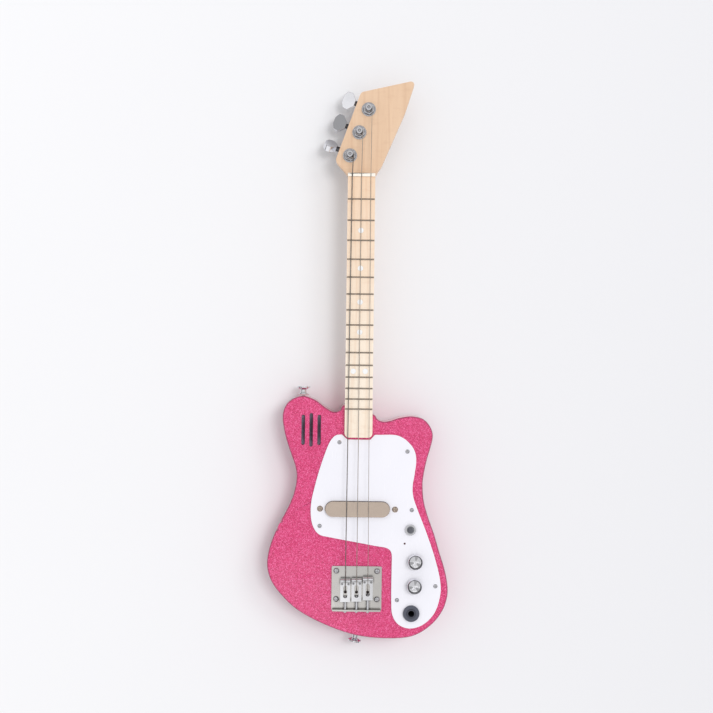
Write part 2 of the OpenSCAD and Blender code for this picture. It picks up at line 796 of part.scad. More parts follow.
module bridge_plate() {
    color("gainsboro")
    difference() {
        union() {
            translate([0, (bridge_front + bridge_back) / 2, face_z])
                linear_extrude(bridge_t) polygon(box_points(bridge_w, bridge_len, bridge_corner_r));
            translate([-bridge_w / 2 + lip_inset, bridge_back, face_z])
                cube([bridge_w - 2 * lip_inset, bridge_t, lip_h]);
        }
        for (p = bridge_screw_at)
            translate([p.x, p.y, face_z - past])
                cylinder(h = bridge_t + 2 * past, r = bridge_screw_r + fit_gap, $fn = 24);
        for (i = [0:2]) {
            translate([string_x(i, 0), string_hole_y, face_z - past])
                cylinder(h = bridge_t + 2 * past, r = string_hole_r);
            translate([string_x(i, 0), bridge_back - past, intonation_z])
                rotate([-90, 0, 0])
                    cylinder(h = bridge_t + 2 * past, r = intonation_r + fit_gap);
        }
    }
}
module bridge_screws() {
    color("silver")
    for (p = bridge_screw_at)
        translate([p.x, p.y, plate_top])
            dome_screw(bridge_screw_head_r, bridge_screw_head_h, bridge_screw_r,
                bridge_t + bridge_screw_len - play);
}

// A bent saddle with its two height screws, its front edge on Y = 0
module saddle(i) {
    color("gainsboro")
    translate([string_x(i, 0), saddle_front[i], 0]) {
        difference() {
            union() {
                translate([-saddle_w / 2, 0, 0])
                    rotate([90, 0, 90])
                        linear_extrude(saddle_w)
                            polygon([[0, plate_top + saddle_lift],
                                [-saddle_slot_start + block_short, plate_top + saddle_lift],
                                [-saddle_slot_start + block_short, saddle_top - saddle_plate_t],
                                [leg_len - saddle_len, saddle_top - saddle_plate_t],
                                [leg_len - saddle_len, plate_top + saddle_lift],
                                [-saddle_len, plate_top + saddle_lift],
                                [-saddle_len, saddle_top], [-2 * crest_r, saddle_top],
                                [-2 * crest_r, crest_z - crest_r], [0, crest_z - crest_r]]);
                translate([-saddle_w / 2, -crest_r, crest_z - crest_r])
                    rotate([0, 90, 0]) cylinder(h = saddle_w, r = crest_r);
            }
            translate([0, -saddle_slot_start - saddle_slot_len / 2, plate_top])
                rotate([0, 0, 90]) stadium(saddle_slot_len, saddle_slot_w, body_t);
            for (side = [-1, 1])
                translate([side * height_screw_x, -height_screw_back, plate_top])
                    cylinder(h = body_t, r = height_screw_r + fit_gap, $fn = 24);
            translate([0, -saddle_len - past, intonation_z])
                rotate([-90, 0, 0])
                    cylinder(h = leg_len + 2 * past, r = intonation_r + fit_gap);
        }
        for (side = [-1, 1])
            translate([side * height_screw_x, -height_screw_back, plate_top + crest_gap])
                difference() {
                    cylinder(h = saddle_lift + saddle_body_h - crest_gap - height_screw_drop,
                        r = height_screw_r, $fn = 24);
                    translate([0, 0, saddle_body_h - crest_gap - height_screw_drop])
                        cylinder(h = height_screw_socket, r = height_screw_r / 2, $fn = 6);
                }
    }
}
saddle_top = plate_top + saddle_lift + saddle_body_h;

// An intonation screw: head behind the lip, shaft through the lip into the saddle
module intonation_screw(i) {
    tip_y = saddle_front[i] - saddle_len + leg_len + saddle_travel + screw_tip_spare;
    color("silver")
    translate([string_x(i, 0), bridge_back, intonation_z])
        rotate([90, 0, 0])
            translate([0, 0, crest_gap])
                dome_screw(intonation_head_r, intonation_head_h, intonation_r,
                    tip_y - bridge_back + crest_gap);
}

// ---- Strings ----

string_bend_back = 5.2;
ferrule_seat = 4;
ferrule_bore = 7;
string_hole_rise = 0.8;
wrap_rise = 6.4;
wrap_step = 1.9;
ball_z = back_inset + ferrule_seat;
ball_h = 3;
ball_r = 1.9;
wrap_turns = 3;
wrap_z = headstock_top + wrap_rise;
wrap_gap = 0.03;
post_first = [-12.3, 22.8];
post_lean = 68.6;
shaft_angle = post_lean + 90;
string_lead = 0.15;

function post_at(i) = [post_first.x + i * post_pitch * cos(post_lean),
    scale_len + post_first.y + i * post_pitch * sin(post_lean)];
function string_at(i, y) = [string_x(i, y), y,
    crest_z + crest_gap + string_r[i] + (fret_top + nut_action - crest_z - crest_gap) * y
    / scale_len];
function nut_bend(i) = string_at(i, scale_len + nut_t / 2);
function post_end(i) = [post_at(i).x + post_r + string_lead + string_r[i], post_at(i).y,
    wrap_z + 2 * string_r[i] + crest_gap];
function string_points(i) = [[string_x(i, 0), string_hole_y, ball_z + ball_h / 2],
    [string_x(i, 0), string_hole_y, plate_top + string_hole_rise],
    string_at(i, saddle_front[i] - string_bend_back), nut_bend(i), post_end(i)];

module string_line(i) {
    color(i == 0 ? "dimgray" : "lightgray") {
        tube(string_points(i), string_r[i]);
        translate([string_x(i, 0), string_hole_y, ball_z])
            cylinder(h = ball_h, r = ball_r, $fn = 24);
    }
}
module string_wrap(i) {
    for (k = [0:wrap_turns - 1])
        translate([0, 0, wrap_z - k * wrap_step * string_r[i]])
            rotate_extrude()
                translate([post_r + wrap_gap + string_r[i], 0]) circle(r = string_r[i], $fn = 16);
}
module string_ferrules() {
    color("silver")
    for (i = [0:2])
        translate([string_x(i, 0), string_hole_y, back_inset])
            difference() {
                union() {
                    cylinder(h = ferrule_h, r = ferrule_r);
                    cylinder(h = ferrule_flange_h - fit_gap, r = ferrule_flange_r);
                }
                translate([0, 0, -past]) cylinder(h = ferrule_bore + past + fit_gap, r = ball_r + play);
                cylinder(h = ferrule_h + past, r = string_r_1 + play, $fn = 24);
            }
}

// ---- Tuners ----

gear_drop = 6;
gear_z = headstock_back - gear_drop;
gear_t = 3;
wheel_tip_r = 3.25;
wheel_root_r = 2.55;
tooth_root = 0.1;
tooth_sink = 0.4;
tooth_foot = 0.05;
post_dish = 0.8;
post_hole_r = 0.8;
post_hole_rise = 2.4;
worm_r = 1.5;
worm_thread = 0.35;
worm_turns = 4;
worm_y = -4.5;
shaft_r = 1.5;
pilot_r = 1.1;
pilot_len = 1.2;
pilot_bore = 1.5;
housing_depth = 11;
housing_back = headstock_back - housing_depth;
housing_corner_r = 2;
housing_x = [-6, 9.2];
housing_y = [-7.6, 5];
tube_end = 13.2;
tube_r = 2.9;
collar_r = 2.7;
button_start = 17.2;
button_end = 2;
sleeve_r = 4.9;
bushing_af = 10.4;
bushing_h = 3;
washer_t = 0.8;
ear_x = 8.6;
ear_r = 3.2;
ear_root = 4;
ear_t = 2;
ear_z = headstock_back - ear_t;
button_turn = [58, 8, -14];

module at_tuner(i) {
    translate([post_at(i).x, post_at(i).y, 0]) rotate([0, 0, shaft_angle]) children();
}
module at_tuners() {
    for (i = [0:2])
        at_tuner(i) children();
}

module tuner_housings() {
    worm_half = worm_turns * worm_lead / 2;
    color("silver")
    at_tuners()
        difference() {
            union() {
                translate([(housing_x[0] + housing_x[1]) / 2, (housing_y[0] + housing_y[1]) / 2,
                    housing_back])
                    linear_extrude(headstock_back - housing_back)
                        polygon(box_points(housing_x[1] - housing_x[0],
                            housing_y[1] - housing_y[0], housing_corner_r));
                translate([housing_x[1] - past, worm_y, gear_z])
                    rotate([0, 90, 0])
                        cylinder(h = tube_end - housing_x[1] + past, r = tube_r);
                translate([-ear_x, 0, ear_z]) cylinder(h = ear_t, r = ear_r);
                translate([-ear_x, -ear_r, ear_z]) cube([ear_x - ear_root, 2 * ear_r, ear_t]);
            }
            // Chamber of the wheel, bore of the post and bearing below it
            translate([0, 0, gear_z - gear_t / 2 - play])
                cylinder(h = gear_t + 2 * play, r = wheel_tip_r + air);
            translate([0, 0, gear_z]) cylinder(h = body_t, r = post_r + fit_gap);
            translate([0, 0, gear_z - gear_t / 2 - pilot_bore])
                cylinder(h = gear_t, r = pilot_r + fit_gap, $fn = 24);
            // Chamber of the worm, bore of its shaft and bearing at its far end
            translate([-worm_half - play, worm_y, gear_z])
                rotate([0, 90, 0])
                    cylinder(h = 2 * worm_half + 2 * play, r = worm_r + worm_thread + air);
            translate([0, worm_y, gear_z])
                rotate([0, 90, 0]) cylinder(h = 2 * tube_end, r = shaft_r + fit_gap);
            translate([-worm_half - pilot_bore, worm_y, gear_z])
                rotate([0, 90, 0]) cylinder(h = worm_half, r = pilot_r + fit_gap, $fn = 24);
            translate([-ear_x, 0, ear_z])
                flat_screw_hole(small_screw_head_r, small_screw_r, small_screw_len);
        }
}

module tuner_bushings() {
    color("silver")
    at_tuners()
        difference() {
            union() {
                translate([0, 0, headstock_back])
                    cylinder(h = headstock_t + washer_t, r = sleeve_r);
                translate([0, 0, headstock_top + washer_t])
                    cylinder(h = bushing_h, r = bushing_af / 2 / cos(30), $fn = 6);
            }
            translate([0, 0, headstock_back - past])
                cylinder(h = body_t, r = post_r + fit_gap);
        }
}
module tuner_washers() {
    color("silver")
    at_tuners()
        translate([0, 0, headstock_top])
            difference() {
                cylinder(h = washer_t, r = washer_r);
                translate([0, 0, -past])
                    cylinder(h = washer_t + 2 * past, r = sleeve_r + fit_gap);
            }
}

// A post with its worm wheel at the bottom and the string's turns near the top
module tuner_post(i) {
    tooth_half = [0.07, 0.22, 0.4];
    color("lightgray")
    translate([post_at(i).x, post_at(i).y, 0]) {
        difference() {
            union() {
                translate([0, 0, gear_z + gear_t / 2])
                    cylinder(h = headstock_top + post_h - gear_z - gear_t / 2, r = post_r);
                translate([0, 0, gear_z - gear_t / 2])
                    linear_extrude(gear_t)
                        rotate([0, 0, shaft_angle - 90])
                            union() {
                                circle(r = wheel_root_r);
                                for (k = [0:wheel_teeth - 1])
                                    rotate([0, 0, k * 360 / wheel_teeth])
                                        polygon([[wheel_root_r - tooth_sink, -tooth_half[2]],
                                            [wheel_root_r + tooth_foot, -tooth_half[2]],
                                            [(wheel_root_r + wheel_tip_r) / 2, -tooth_half[1]],
                                            [wheel_tip_r, -tooth_half[0]],
                                            [wheel_tip_r, tooth_half[0]],
                                            [(wheel_root_r + wheel_tip_r) / 2, tooth_half[1]],
                                            [wheel_root_r + tooth_foot, tooth_half[2]],
                                            [wheel_root_r - tooth_sink, tooth_half[2]]]);
                            }
                translate([0, 0, gear_z - gear_t / 2 - pilot_len])
                    cylinder(h = pilot_len + tooth_root, r = pilot_r, $fn = 24);
            }
            // Dished top and string hole
            translate([0, 0, headstock_top + post_h - post_dish])
                cylinder(h = post_dish + past, r = post_r * 0.55);
            translate([-2 * post_r, 0, wrap_z + post_hole_rise])
                rotate([0, 90, 0]) cylinder(h = 4 * post_r, r = post_hole_r, $fn = 24);
        }
        string_wrap(i);
    }
}

module tuner_worm(i) {
    worm_len = worm_turns * worm_lead;
    slices = worm_turns * 9;
    color("dimgray")
    at_tuner(i)
        translate([0, worm_y, gear_z])
            rotate([0, 90, 0]) {
                translate([0, 0, -worm_len / 2])
                    linear_extrude(worm_len, twist = -360 * worm_turns, slices = slices, $fn = 12)
                        rotate([0, 0, 270 - 180 * worm_turns])
                            translate([worm_thread, 0]) circle(r = worm_r, $fn = 12);
                translate([0, 0, -worm_len / 2 - pilot_len])
                    cylinder(h = worm_len, r = pilot_r, $fn = 24);
                translate([0, 0, worm_len / 2 - 0.01])
                    cylinder(h = button_start + button_depth - button_end - worm_len / 2,
                        r = shaft_r, $fn = 24);
                translate([0, 0, tube_end + play])
                    cylinder(h = button_start - tube_end - 2 * play, r = collar_r);
            }
}

// A six-sided button, its shaft end at X = 0
module tuner_button(i) {
    w = button_w / 2;
    color("gray")
    at_tuner(i)
        translate([button_start, worm_y, gear_z])
            rotate([button_turn[i], 0, 0])
                difference() {
                    translate([0, 0, -button_t / 2])
                        linear_extrude(button_t)
                            polygon(rounded([[0, -w * 0.36, 0.8], [button_depth * 0.42, -w, 1.6],
                                [button_depth * 0.8, -w * 0.92, 2],
                                [button_depth, -w * 0.4, 2.5], [button_depth, w * 0.4, 2.5],
                                [button_depth * 0.8, w * 0.92, 2], [button_depth * 0.42, w, 1.6],
                                [0, w * 0.36, 0.8]]));
                    translate([-past, 0, 0])
                        rotate([0, 90, 0])
                            cylinder(h = button_depth - button_end + past + fit_gap,
                                r = shaft_r + fit_gap, $fn = 24);
                }
}

// ---- Controls ----

bushing_r = 3.5;
bushing_rise = 2.8;
shaft_knob_r = 3;
pot_r = 8;
pot_t = 8;
pot_drop = 1;
nut_r = 5.7;
nut_h = 2.2;
knob_gap = 1;
knob_wall_top = 3;
knob_rim_share = 0.3;
knob_cup_gap = 0.5;
pot_collar_r = 5.6;
pot_floor = 3;
module pots() {
    color("darkgray")
    for (p = [volume_at, drive_at])
        translate([p.x, p.y, 0])
            difference() {
                union() {
                    translate([0, 0, face_z - pot_drop - pot_t]) cylinder(h = pot_t, r = pot_r);
                    translate([0, 0, face_z - pot_drop]) cylinder(h = pot_drop, r = pot_collar_r);
                    translate([0, 0, face_z - pot_drop])
                        cylinder(h = pot_drop + guard_t + bushing_rise, r = bushing_r);
                }
                translate([0, 0, face_z - pot_drop - pot_t + pot_floor])
                    cylinder(h = body_t, r = shaft_knob_r + fit_gap);
            }
}
module panel_nuts() {
    color("silver")
    for (p = [power_at, volume_at, drive_at])
        translate([p.x, p.y, guard_top])
            difference() {
                cylinder(h = nut_h, r = nut_r);
                translate([0, 0, -past])
                    cylinder(h = nut_h + 2 * past, r = bushing_r + fit_gap);
            }
}

// A domed knob and the pot shaft that it is fixed to
module knob(at) {
    knob_r = knob_d / 2;
    rim = knob_h * knob_rim_share;
    dome_r = (knob_r * knob_r + (knob_h - rim) * (knob_h - rim)) / (2 * (knob_h - rim));
    color("gainsboro")
    translate([at.x, at.y, guard_top + knob_gap]) {
        difference() {
            union() {
                cylinder(h = rim, r = knob_r);
                intersection() {
                    cylinder(h = knob_h, r = knob_r);
                    translate([0, 0, knob_h - dome_r]) sphere(r = dome_r, $fn = 64);
                }
            }
            translate([0, 0, -past])
                cylinder(h = past + nut_h + bushing_rise - knob_gap, r = nut_r + knob_cup_gap);
            cylinder(h = knob_h - knob_wall_top, r = shaft_knob_r + fit_gap);
        }
        shaft_drop = guard_top + knob_gap - face_z + pot_drop + pot_t - pot_floor - play;
        translate([0, 0, -shaft_drop])
            cylinder(h = knob_h - knob_wall_top + shaft_drop - play, r = shaft_knob_r);
    }
}

button_r = 2.6;
button_rise = 1.8;
switch_w = 12;
switch_depth = 12;
switch_floor = 4;
module power_button() {
    color("black")
    translate([power_at.x, power_at.y, face_z - switch_depth + switch_floor])
        cylinder(h = switch_depth - switch_floor + guard_t + bushing_rise + button_rise, r = button_r);
}
module power_switch() {
    color("dimgray")
    translate([power_at.x, power_at.y, 0])
        difference() {
            union() {
                translate([-switch_w / 2, -switch_w / 2, face_z - switch_depth])
                    cube([switch_w, switch_w, switch_depth]);
                translate([0, 0, face_z - past])
                    cylinder(h = past + guard_t + bushing_rise, r = bushing_r);
            }
            translate([0, 0, face_z - switch_depth + switch_floor - power_travel - air])
                cylinder(h = body_t, r = button_r + fit_gap);
        }
}
led_r = 1;
led_depth = 5;
led_flange_r = 1.4;
led_leg_r = 0.3;
led_leg_x = 0.8;
module led() {
    color("crimson")
    translate([led_at.x, led_at.y, 0]) {
        translate([0, 0, guard_top - led_r / 2]) sphere(r = led_r, $fn = 24);
        translate([0, 0, face_z - led_depth])
            cylinder(h = guard_t + led_depth - led_r / 2, r = led_r, $fn = 24);
        translate([0, 0, face_z - led_depth]) cylinder(h = led_depth, r = led_flange_r, $fn = 24);
        for (side = [-led_leg_x, led_leg_x])
            translate([side, 0, cavity_z + board_lift + pcb_t])
                cylinder(h = cavity_depth - led_depth - board_lift - pcb_t, r = led_leg_r,
                    $fn = 16);
    }
}

jack_bushing_r = 4.8;
jack_body_r = 8.4;
jack_nut_h = 2.4;
jack_rise = jack_nut_h + 0.5;
jack_play = 0.075;
jack_bore_r = jack_d / 2 + jack_play;
jack_lift = 1;
jack_floor = 4;
module jack_body() {
    color("dimgray")
    translate([jack_at.x, jack_at.y, 0])
        difference() {
            union() {
                translate([0, 0, cavity_z + jack_lift])
                    cylinder(h = cavity_depth - jack_lift, r = jack_body_r);
                translate([0, 0, face_z])
                    cylinder(h = guard_t + jack_rise, r = jack_bushing_r);
            }
            translate([0, 0, cavity_z + jack_floor]) cylinder(h = body_t, r = jack_bore_r);
        }
}
module jack_nut() {
    color("black")
    translate([jack_at.x, jack_at.y, guard_top])
        difference() {
            cylinder(h = jack_nut_h, r = jack_nut_d / 2);
            translate([0, 0, -past])
                cylinder(h = jack_nut_h + 2 * past, r = jack_bushing_r + fit_gap);
        }
}

// ---- Speaker ----

speaker_seat = face_z - face_wall;
module speaker() {
    rim_t = 2;
    cone_depth = 7;
    magnet_r = 8.5;
    magnet_t = 6;
    translate([slot_at.x, slot_at.y, 0]) {
        color("dimgray")
        rotate_extrude()
            polygon([[magnet_r, speaker_seat - rim_t - cone_depth - 1],
                [magnet_r, speaker_seat - rim_t - cone_depth],
                [speaker_r - 3, speaker_seat - rim_t], [speaker_r - 3, speaker_seat],
                [speaker_r - air, speaker_seat], [speaker_r - air, speaker_seat - rim_t],
                [speaker_r - 1.5, speaker_seat - rim_t],
                [magnet_r + 2, speaker_seat - rim_t - cone_depth - 1]]);
        color("black")
        translate([0, 0, speaker_seat - rim_t - cone_depth - magnet_t])
            cylinder(h = magnet_t - 1, r = magnet_r + 2);
        color("gray")
        rotate_extrude()
            polygon([[0, speaker_seat - rim_t - cone_depth + 1],
                [magnet_r - 3, speaker_seat - rim_t - cone_depth + 1],
                [speaker_r - 3 - play, speaker_seat - rim_t + 1],
                [speaker_r - 3 - play, speaker_seat - rim_t + 1.6],
                [magnet_r - 3.5, speaker_seat - rim_t - cone_depth + 2],
                [0, speaker_seat - rim_t - cone_depth + 2]]);
    }
}

module at_cover_screws() {
    for (a = [45:90:315])
        translate([slot_at.x, slot_at.y, back_inset])
            rotate([0, 0, a]) translate([cover_screw_r, 0, 0]) children();
}
module back_cover() {
    color("dimgray")
    difference() {
        translate([slot_at.x, slot_at.y, back_inset]) cylinder(h = cover_t, r = cover_r);
        at_cover_screws() flat_screw_hole(small_screw_head_r, small_screw_r, small_screw_len);
    }
}
module small_screws() {
    color("silver") {
        at_cover_screws() flat_screw(small_screw_head_r, small_screw_r, small_screw_len);
        at_tuners()
            translate([-ear_x, 0, ear_z])
                flat_screw(small_screw_head_r, small_screw_r, small_screw_len);
    }
}

// ---- Battery ----

door_t = 2;
door_gap = 0.4;
pin_r = 0.9;
pin_skin = 0.4;
pin_inset = 0.6;
notch_r = 5;
grip_w = 10;
groove_w = 0.9;
groove_depth = 0.5;
groove_step = 2;
groove_start = 4;
barrel_r = 1.3;
hinge_y = box_at.y - box_len / 2 + box_wall + barrel_r + air;
hinge_z = back_inset + door_gap + barrel_r;
door_w = box_w - 2 * box_wall - 2 * air;
door_end = box_at.y + box_len / 2 - box_wall - air;
module battery_box() {
    color("black")
    difference() {
        translate([box_at.x, box_at.y, back_inset])
            linear_extrude(box_depth) polygon(box_points(box_w, box_len, box_corner_r));
        translate([box_at.x, box_at.y, back_inset - past])
            linear_extrude(box_depth - box_wall + past)
                polygon(box_points(box_w - 2 * box_wall, box_len - 2 * box_wall, 0.5));
        translate([box_at.x - box_w / 2 + pin_skin, hinge_y, hinge_z])
            rotate([0, 90, 0])
                cylinder(h = box_w - 2 * pin_skin, r = pin_r + fit_gap, $fn = 24);
        // Hole for the battery lead
        rod(battery_lead[0] - [past, 0, 0], battery_lead[1] + [past, 0, 0], lead_channel_r);
        // Finger notch at the free end of the door
        translate([box_at.x, door_end + air, back_inset - past])
            cylinder(h = 2 * past, r = notch_r);
    }
}
module battery_door() {
    color("black")
    difference() {
        union() {
            translate([box_at.x - door_w / 2, hinge_y, back_inset + door_gap])
                cube([door_w, door_end - hinge_y, door_t]);
            translate([box_at.x - door_w / 2, hinge_y, hinge_z])
                rotate([0, 90, 0]) cylinder(h = door_w, r = barrel_r);
            translate([box_at.x - box_w / 2 + pin_inset, hinge_y, hinge_z])
                rotate([0, 90, 0]) cylinder(h = box_w - 2 * pin_inset, r = pin_r, $fn = 24);
        }
        // Grip grooves
        for (k = [0:3])
            translate([box_at.x - grip_w / 2, door_end - groove_start - k * groove_step,
                back_inset])
                cube([grip_w, groove_w, door_gap + groove_depth]);
    }
}
battery_z = back_inset + box_depth - box_wall - battery_t;
battery_end_gap = 0.5;
battery_y = box_at.y + box_len / 2 - box_wall - battery_end_gap - battery_len / 2;
battery_corner_r = 2.5;
terminal_x = 6.3;
terminal_sink = 0.1;
terminal_h = 2.6;
stud_r = 3;
cup_r = 4;
module battery() {
    color("darkorange")
    translate([box_at.x, battery_y, battery_z]) {
        linear_extrude(battery_t) polygon(box_points(battery_w, battery_len, battery_corner_r));
        for (side = [-1, 1])
            translate([side * terminal_x, -battery_len / 2 + terminal_sink, battery_t / 2])
                rotate([90, 0, 0])
                    cylinder(h = terminal_h, r = side > 0 ? cup_r : stud_r);
    }
}

// ---- Amplifier and leads ----

pcb_t = 1.6;
board_lift = 4;
pcb_x = [47.5, 73];
pcb_y = [-26, 52];
pcb_cut = [12, 10];
standoff_r = 2;
standoffs = [[50.5, -23], [70, -23], [50.5, 49], [58, 49]];
capacitor_r = 3.2;
capacitor_h = 8;
capacitors = [[66, 28], [57, 3]];
chip_at = [54, 27];
chip_size = [9.5, 6.5, 3.4];
socket_at = [51, 38];
socket_size = [8, 3, 2];
module amp_board() {
    top = cavity_z + board_lift + pcb_t;
    color("darkgreen") {
        translate([0, 0, cavity_z + board_lift])
            linear_extrude(pcb_t)
                polygon([[pcb_x[0], pcb_y[0]], [pcb_x[1], pcb_y[0]], [pcb_x[1], pcb_cut[1]],
                    [pcb_x[1] - pcb_cut[0], pcb_y[1]], [pcb_x[0], pcb_y[1]]]);
        for (p = standoffs)
            translate([p.x, p.y, cavity_z]) cylinder(h = board_lift, r = standoff_r, $fn = 24);
        translate([chip_at.x, chip_at.y, top]) cube(chip_size);
        for (p = capacitors)
            translate([p.x, p.y, top]) cylinder(h = capacitor_h, r = capacitor_r);
        translate([socket_at.x, socket_at.y, top]) cube(socket_size);
    }
}

lead_up = 3;
speaker_lead = [
    [slot_at.x + 5, slot_at.y - speaker_r + 4.5, speaker_seat - 12],
    [slot_at.x + 6.2, slot_at.y - speaker_r + 3.5, speaker_seat - 12],
    [-30, pickup_y + 8, face_z - pickup_cavity_depth + lead_up],
    [-27, pickup_y - 6, face_z - pickup_cavity_depth + lead_up],
    [45, pickup_y - 8.2, face_z - pickup_cavity_depth + lead_up],
    [48.4, 60.6, face_z - pickup_cavity_depth + lead_up],
    [49.4, 49, cavity_z + board_lift + pcb_t + lead_up],
    [49.4, 44, cavity_z + board_lift + pcb_t + lead_r + fit_gap]];
pickup_lead = [
    [20, pickup_y, pickup_base_z - fit_gap],
    [20, pickup_y, pickup_base_z - 2.4],
    [47.5, pickup_y - 4.6, pickup_base_z - 2.4],
    [51.4, 60.8, pickup_base_z - 2.5],
    [53, 55, cavity_z + board_lift + pcb_t + 5],
    [53, 46, cavity_z + board_lift + pcb_t + lead_r + fit_gap]];
battery_lead = [
    [box_at.x + box_w / 2 - box_wall - 0.6, hinge_y + 4.5, box_depth - 5],
    [box_at.x + box_w / 2 + play, hinge_y + 4.5, box_depth - 5],
    [48, 2, cavity_z + board_lift + pcb_t + lead_up],
    [51, -4, cavity_z + board_lift + pcb_t + lead_r + fit_gap]];
module wiring() {
    color("crimson") {
        tube(speaker_lead, lead_r);
        tube(pickup_lead, lead_r);
        tube(battery_lead, lead_r);
    }
}

body();
neck();
fretboard();
frets();
fret_markers();
nut();
neck_plate();
neck_screws();
strap_buttons();
strap_washers();
strap_screws();
pickguard();
pickguard_screws();
pickup_cover();
pickup_bobbin();
pickup_coil();
pickup_magnet();
pickup_screws();
pickup_springs();
bridge_plate();
bridge_screws();
saddle(0);  // saddle_1
saddle(1);  // saddle_2
saddle(2);  // saddle_3
intonation_screw(0);  // intonation_screw_1
intonation_screw(1);  // intonation_screw_2
intonation_screw(2);  // intonation_screw_3
string_line(0);  // string_1
string_line(1);  // string_2
string_line(2);  // string_3
string_ferrules();
tuner_housings();
tuner_bushings();
tuner_washers();
tuner_post(0);  // tuner_post_1
tuner_post(1);  // tuner_post_2
tuner_post(2);  // tuner_post_3
tuner_worm(0);  // tuner_worm_1
tuner_worm(1);  // tuner_worm_2
tuner_worm(2);  // tuner_worm_3
tuner_button(0);  // tuner_button_1
tuner_button(1);  // tuner_button_2
tuner_button(2);  // tuner_button_3
pots();
panel_nuts();
knob(volume_at);  // volume_knob
knob(drive_at);  // drive_knob
power_button();
power_switch();
led();
jack_body();
jack_nut();
speaker();
back_cover();
small_screws();
battery_box();
battery_door();
battery();
amp_board();
wiring();
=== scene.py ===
"""Looks of a toy electric guitar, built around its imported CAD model.

The guitar lies on its back on a pale floor. X runs across the body, Y along the neck and Z up
from the floor. Lengths here are in metres, and most are a number of millimetres times MM.
"""

import json
import math

import bmesh
import bpy
from mathutils import Matrix, Vector

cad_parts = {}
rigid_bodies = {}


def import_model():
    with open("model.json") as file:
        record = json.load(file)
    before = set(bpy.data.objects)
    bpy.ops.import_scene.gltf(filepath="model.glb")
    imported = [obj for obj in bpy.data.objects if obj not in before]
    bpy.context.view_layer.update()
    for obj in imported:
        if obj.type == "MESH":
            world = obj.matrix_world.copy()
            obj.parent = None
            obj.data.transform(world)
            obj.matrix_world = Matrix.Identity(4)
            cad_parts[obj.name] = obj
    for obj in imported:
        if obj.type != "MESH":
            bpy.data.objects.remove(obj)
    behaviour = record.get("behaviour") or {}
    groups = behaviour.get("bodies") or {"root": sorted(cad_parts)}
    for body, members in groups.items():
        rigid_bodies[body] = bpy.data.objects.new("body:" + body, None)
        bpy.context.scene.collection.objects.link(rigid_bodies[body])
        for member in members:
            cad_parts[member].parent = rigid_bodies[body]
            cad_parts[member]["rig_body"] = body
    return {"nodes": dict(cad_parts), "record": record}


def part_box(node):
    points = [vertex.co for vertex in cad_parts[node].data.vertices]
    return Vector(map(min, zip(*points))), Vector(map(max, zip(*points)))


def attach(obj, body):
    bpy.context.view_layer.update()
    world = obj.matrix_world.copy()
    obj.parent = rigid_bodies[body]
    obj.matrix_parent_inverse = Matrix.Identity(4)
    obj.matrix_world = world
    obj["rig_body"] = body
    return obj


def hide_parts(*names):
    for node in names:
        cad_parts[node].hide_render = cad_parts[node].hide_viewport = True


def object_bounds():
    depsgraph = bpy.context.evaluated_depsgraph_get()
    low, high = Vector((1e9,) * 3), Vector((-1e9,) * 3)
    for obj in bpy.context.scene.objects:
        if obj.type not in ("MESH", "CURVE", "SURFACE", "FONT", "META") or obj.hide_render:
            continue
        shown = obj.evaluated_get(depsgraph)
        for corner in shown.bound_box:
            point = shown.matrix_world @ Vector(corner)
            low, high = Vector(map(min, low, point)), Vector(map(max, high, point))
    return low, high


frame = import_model()
CAD_BOX = [list(corner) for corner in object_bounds()]
NODES = frame["nodes"]
MM = 0.001

SLOT_OF = {part["node"]: part["material_slot"] for part in frame["record"]["subparts"]}


# ---- Materials ----


def rgb(red, green, blue):
    """An sRGB colour of 0 to 255 as Blender's linear RGBA."""
    return tuple(
        (c / 255 / 12.92) if c < 11 else ((c / 255 + 0.055) / 1.055) ** 2.4
        for c in (red, green, blue)
    ) + (1.0,)


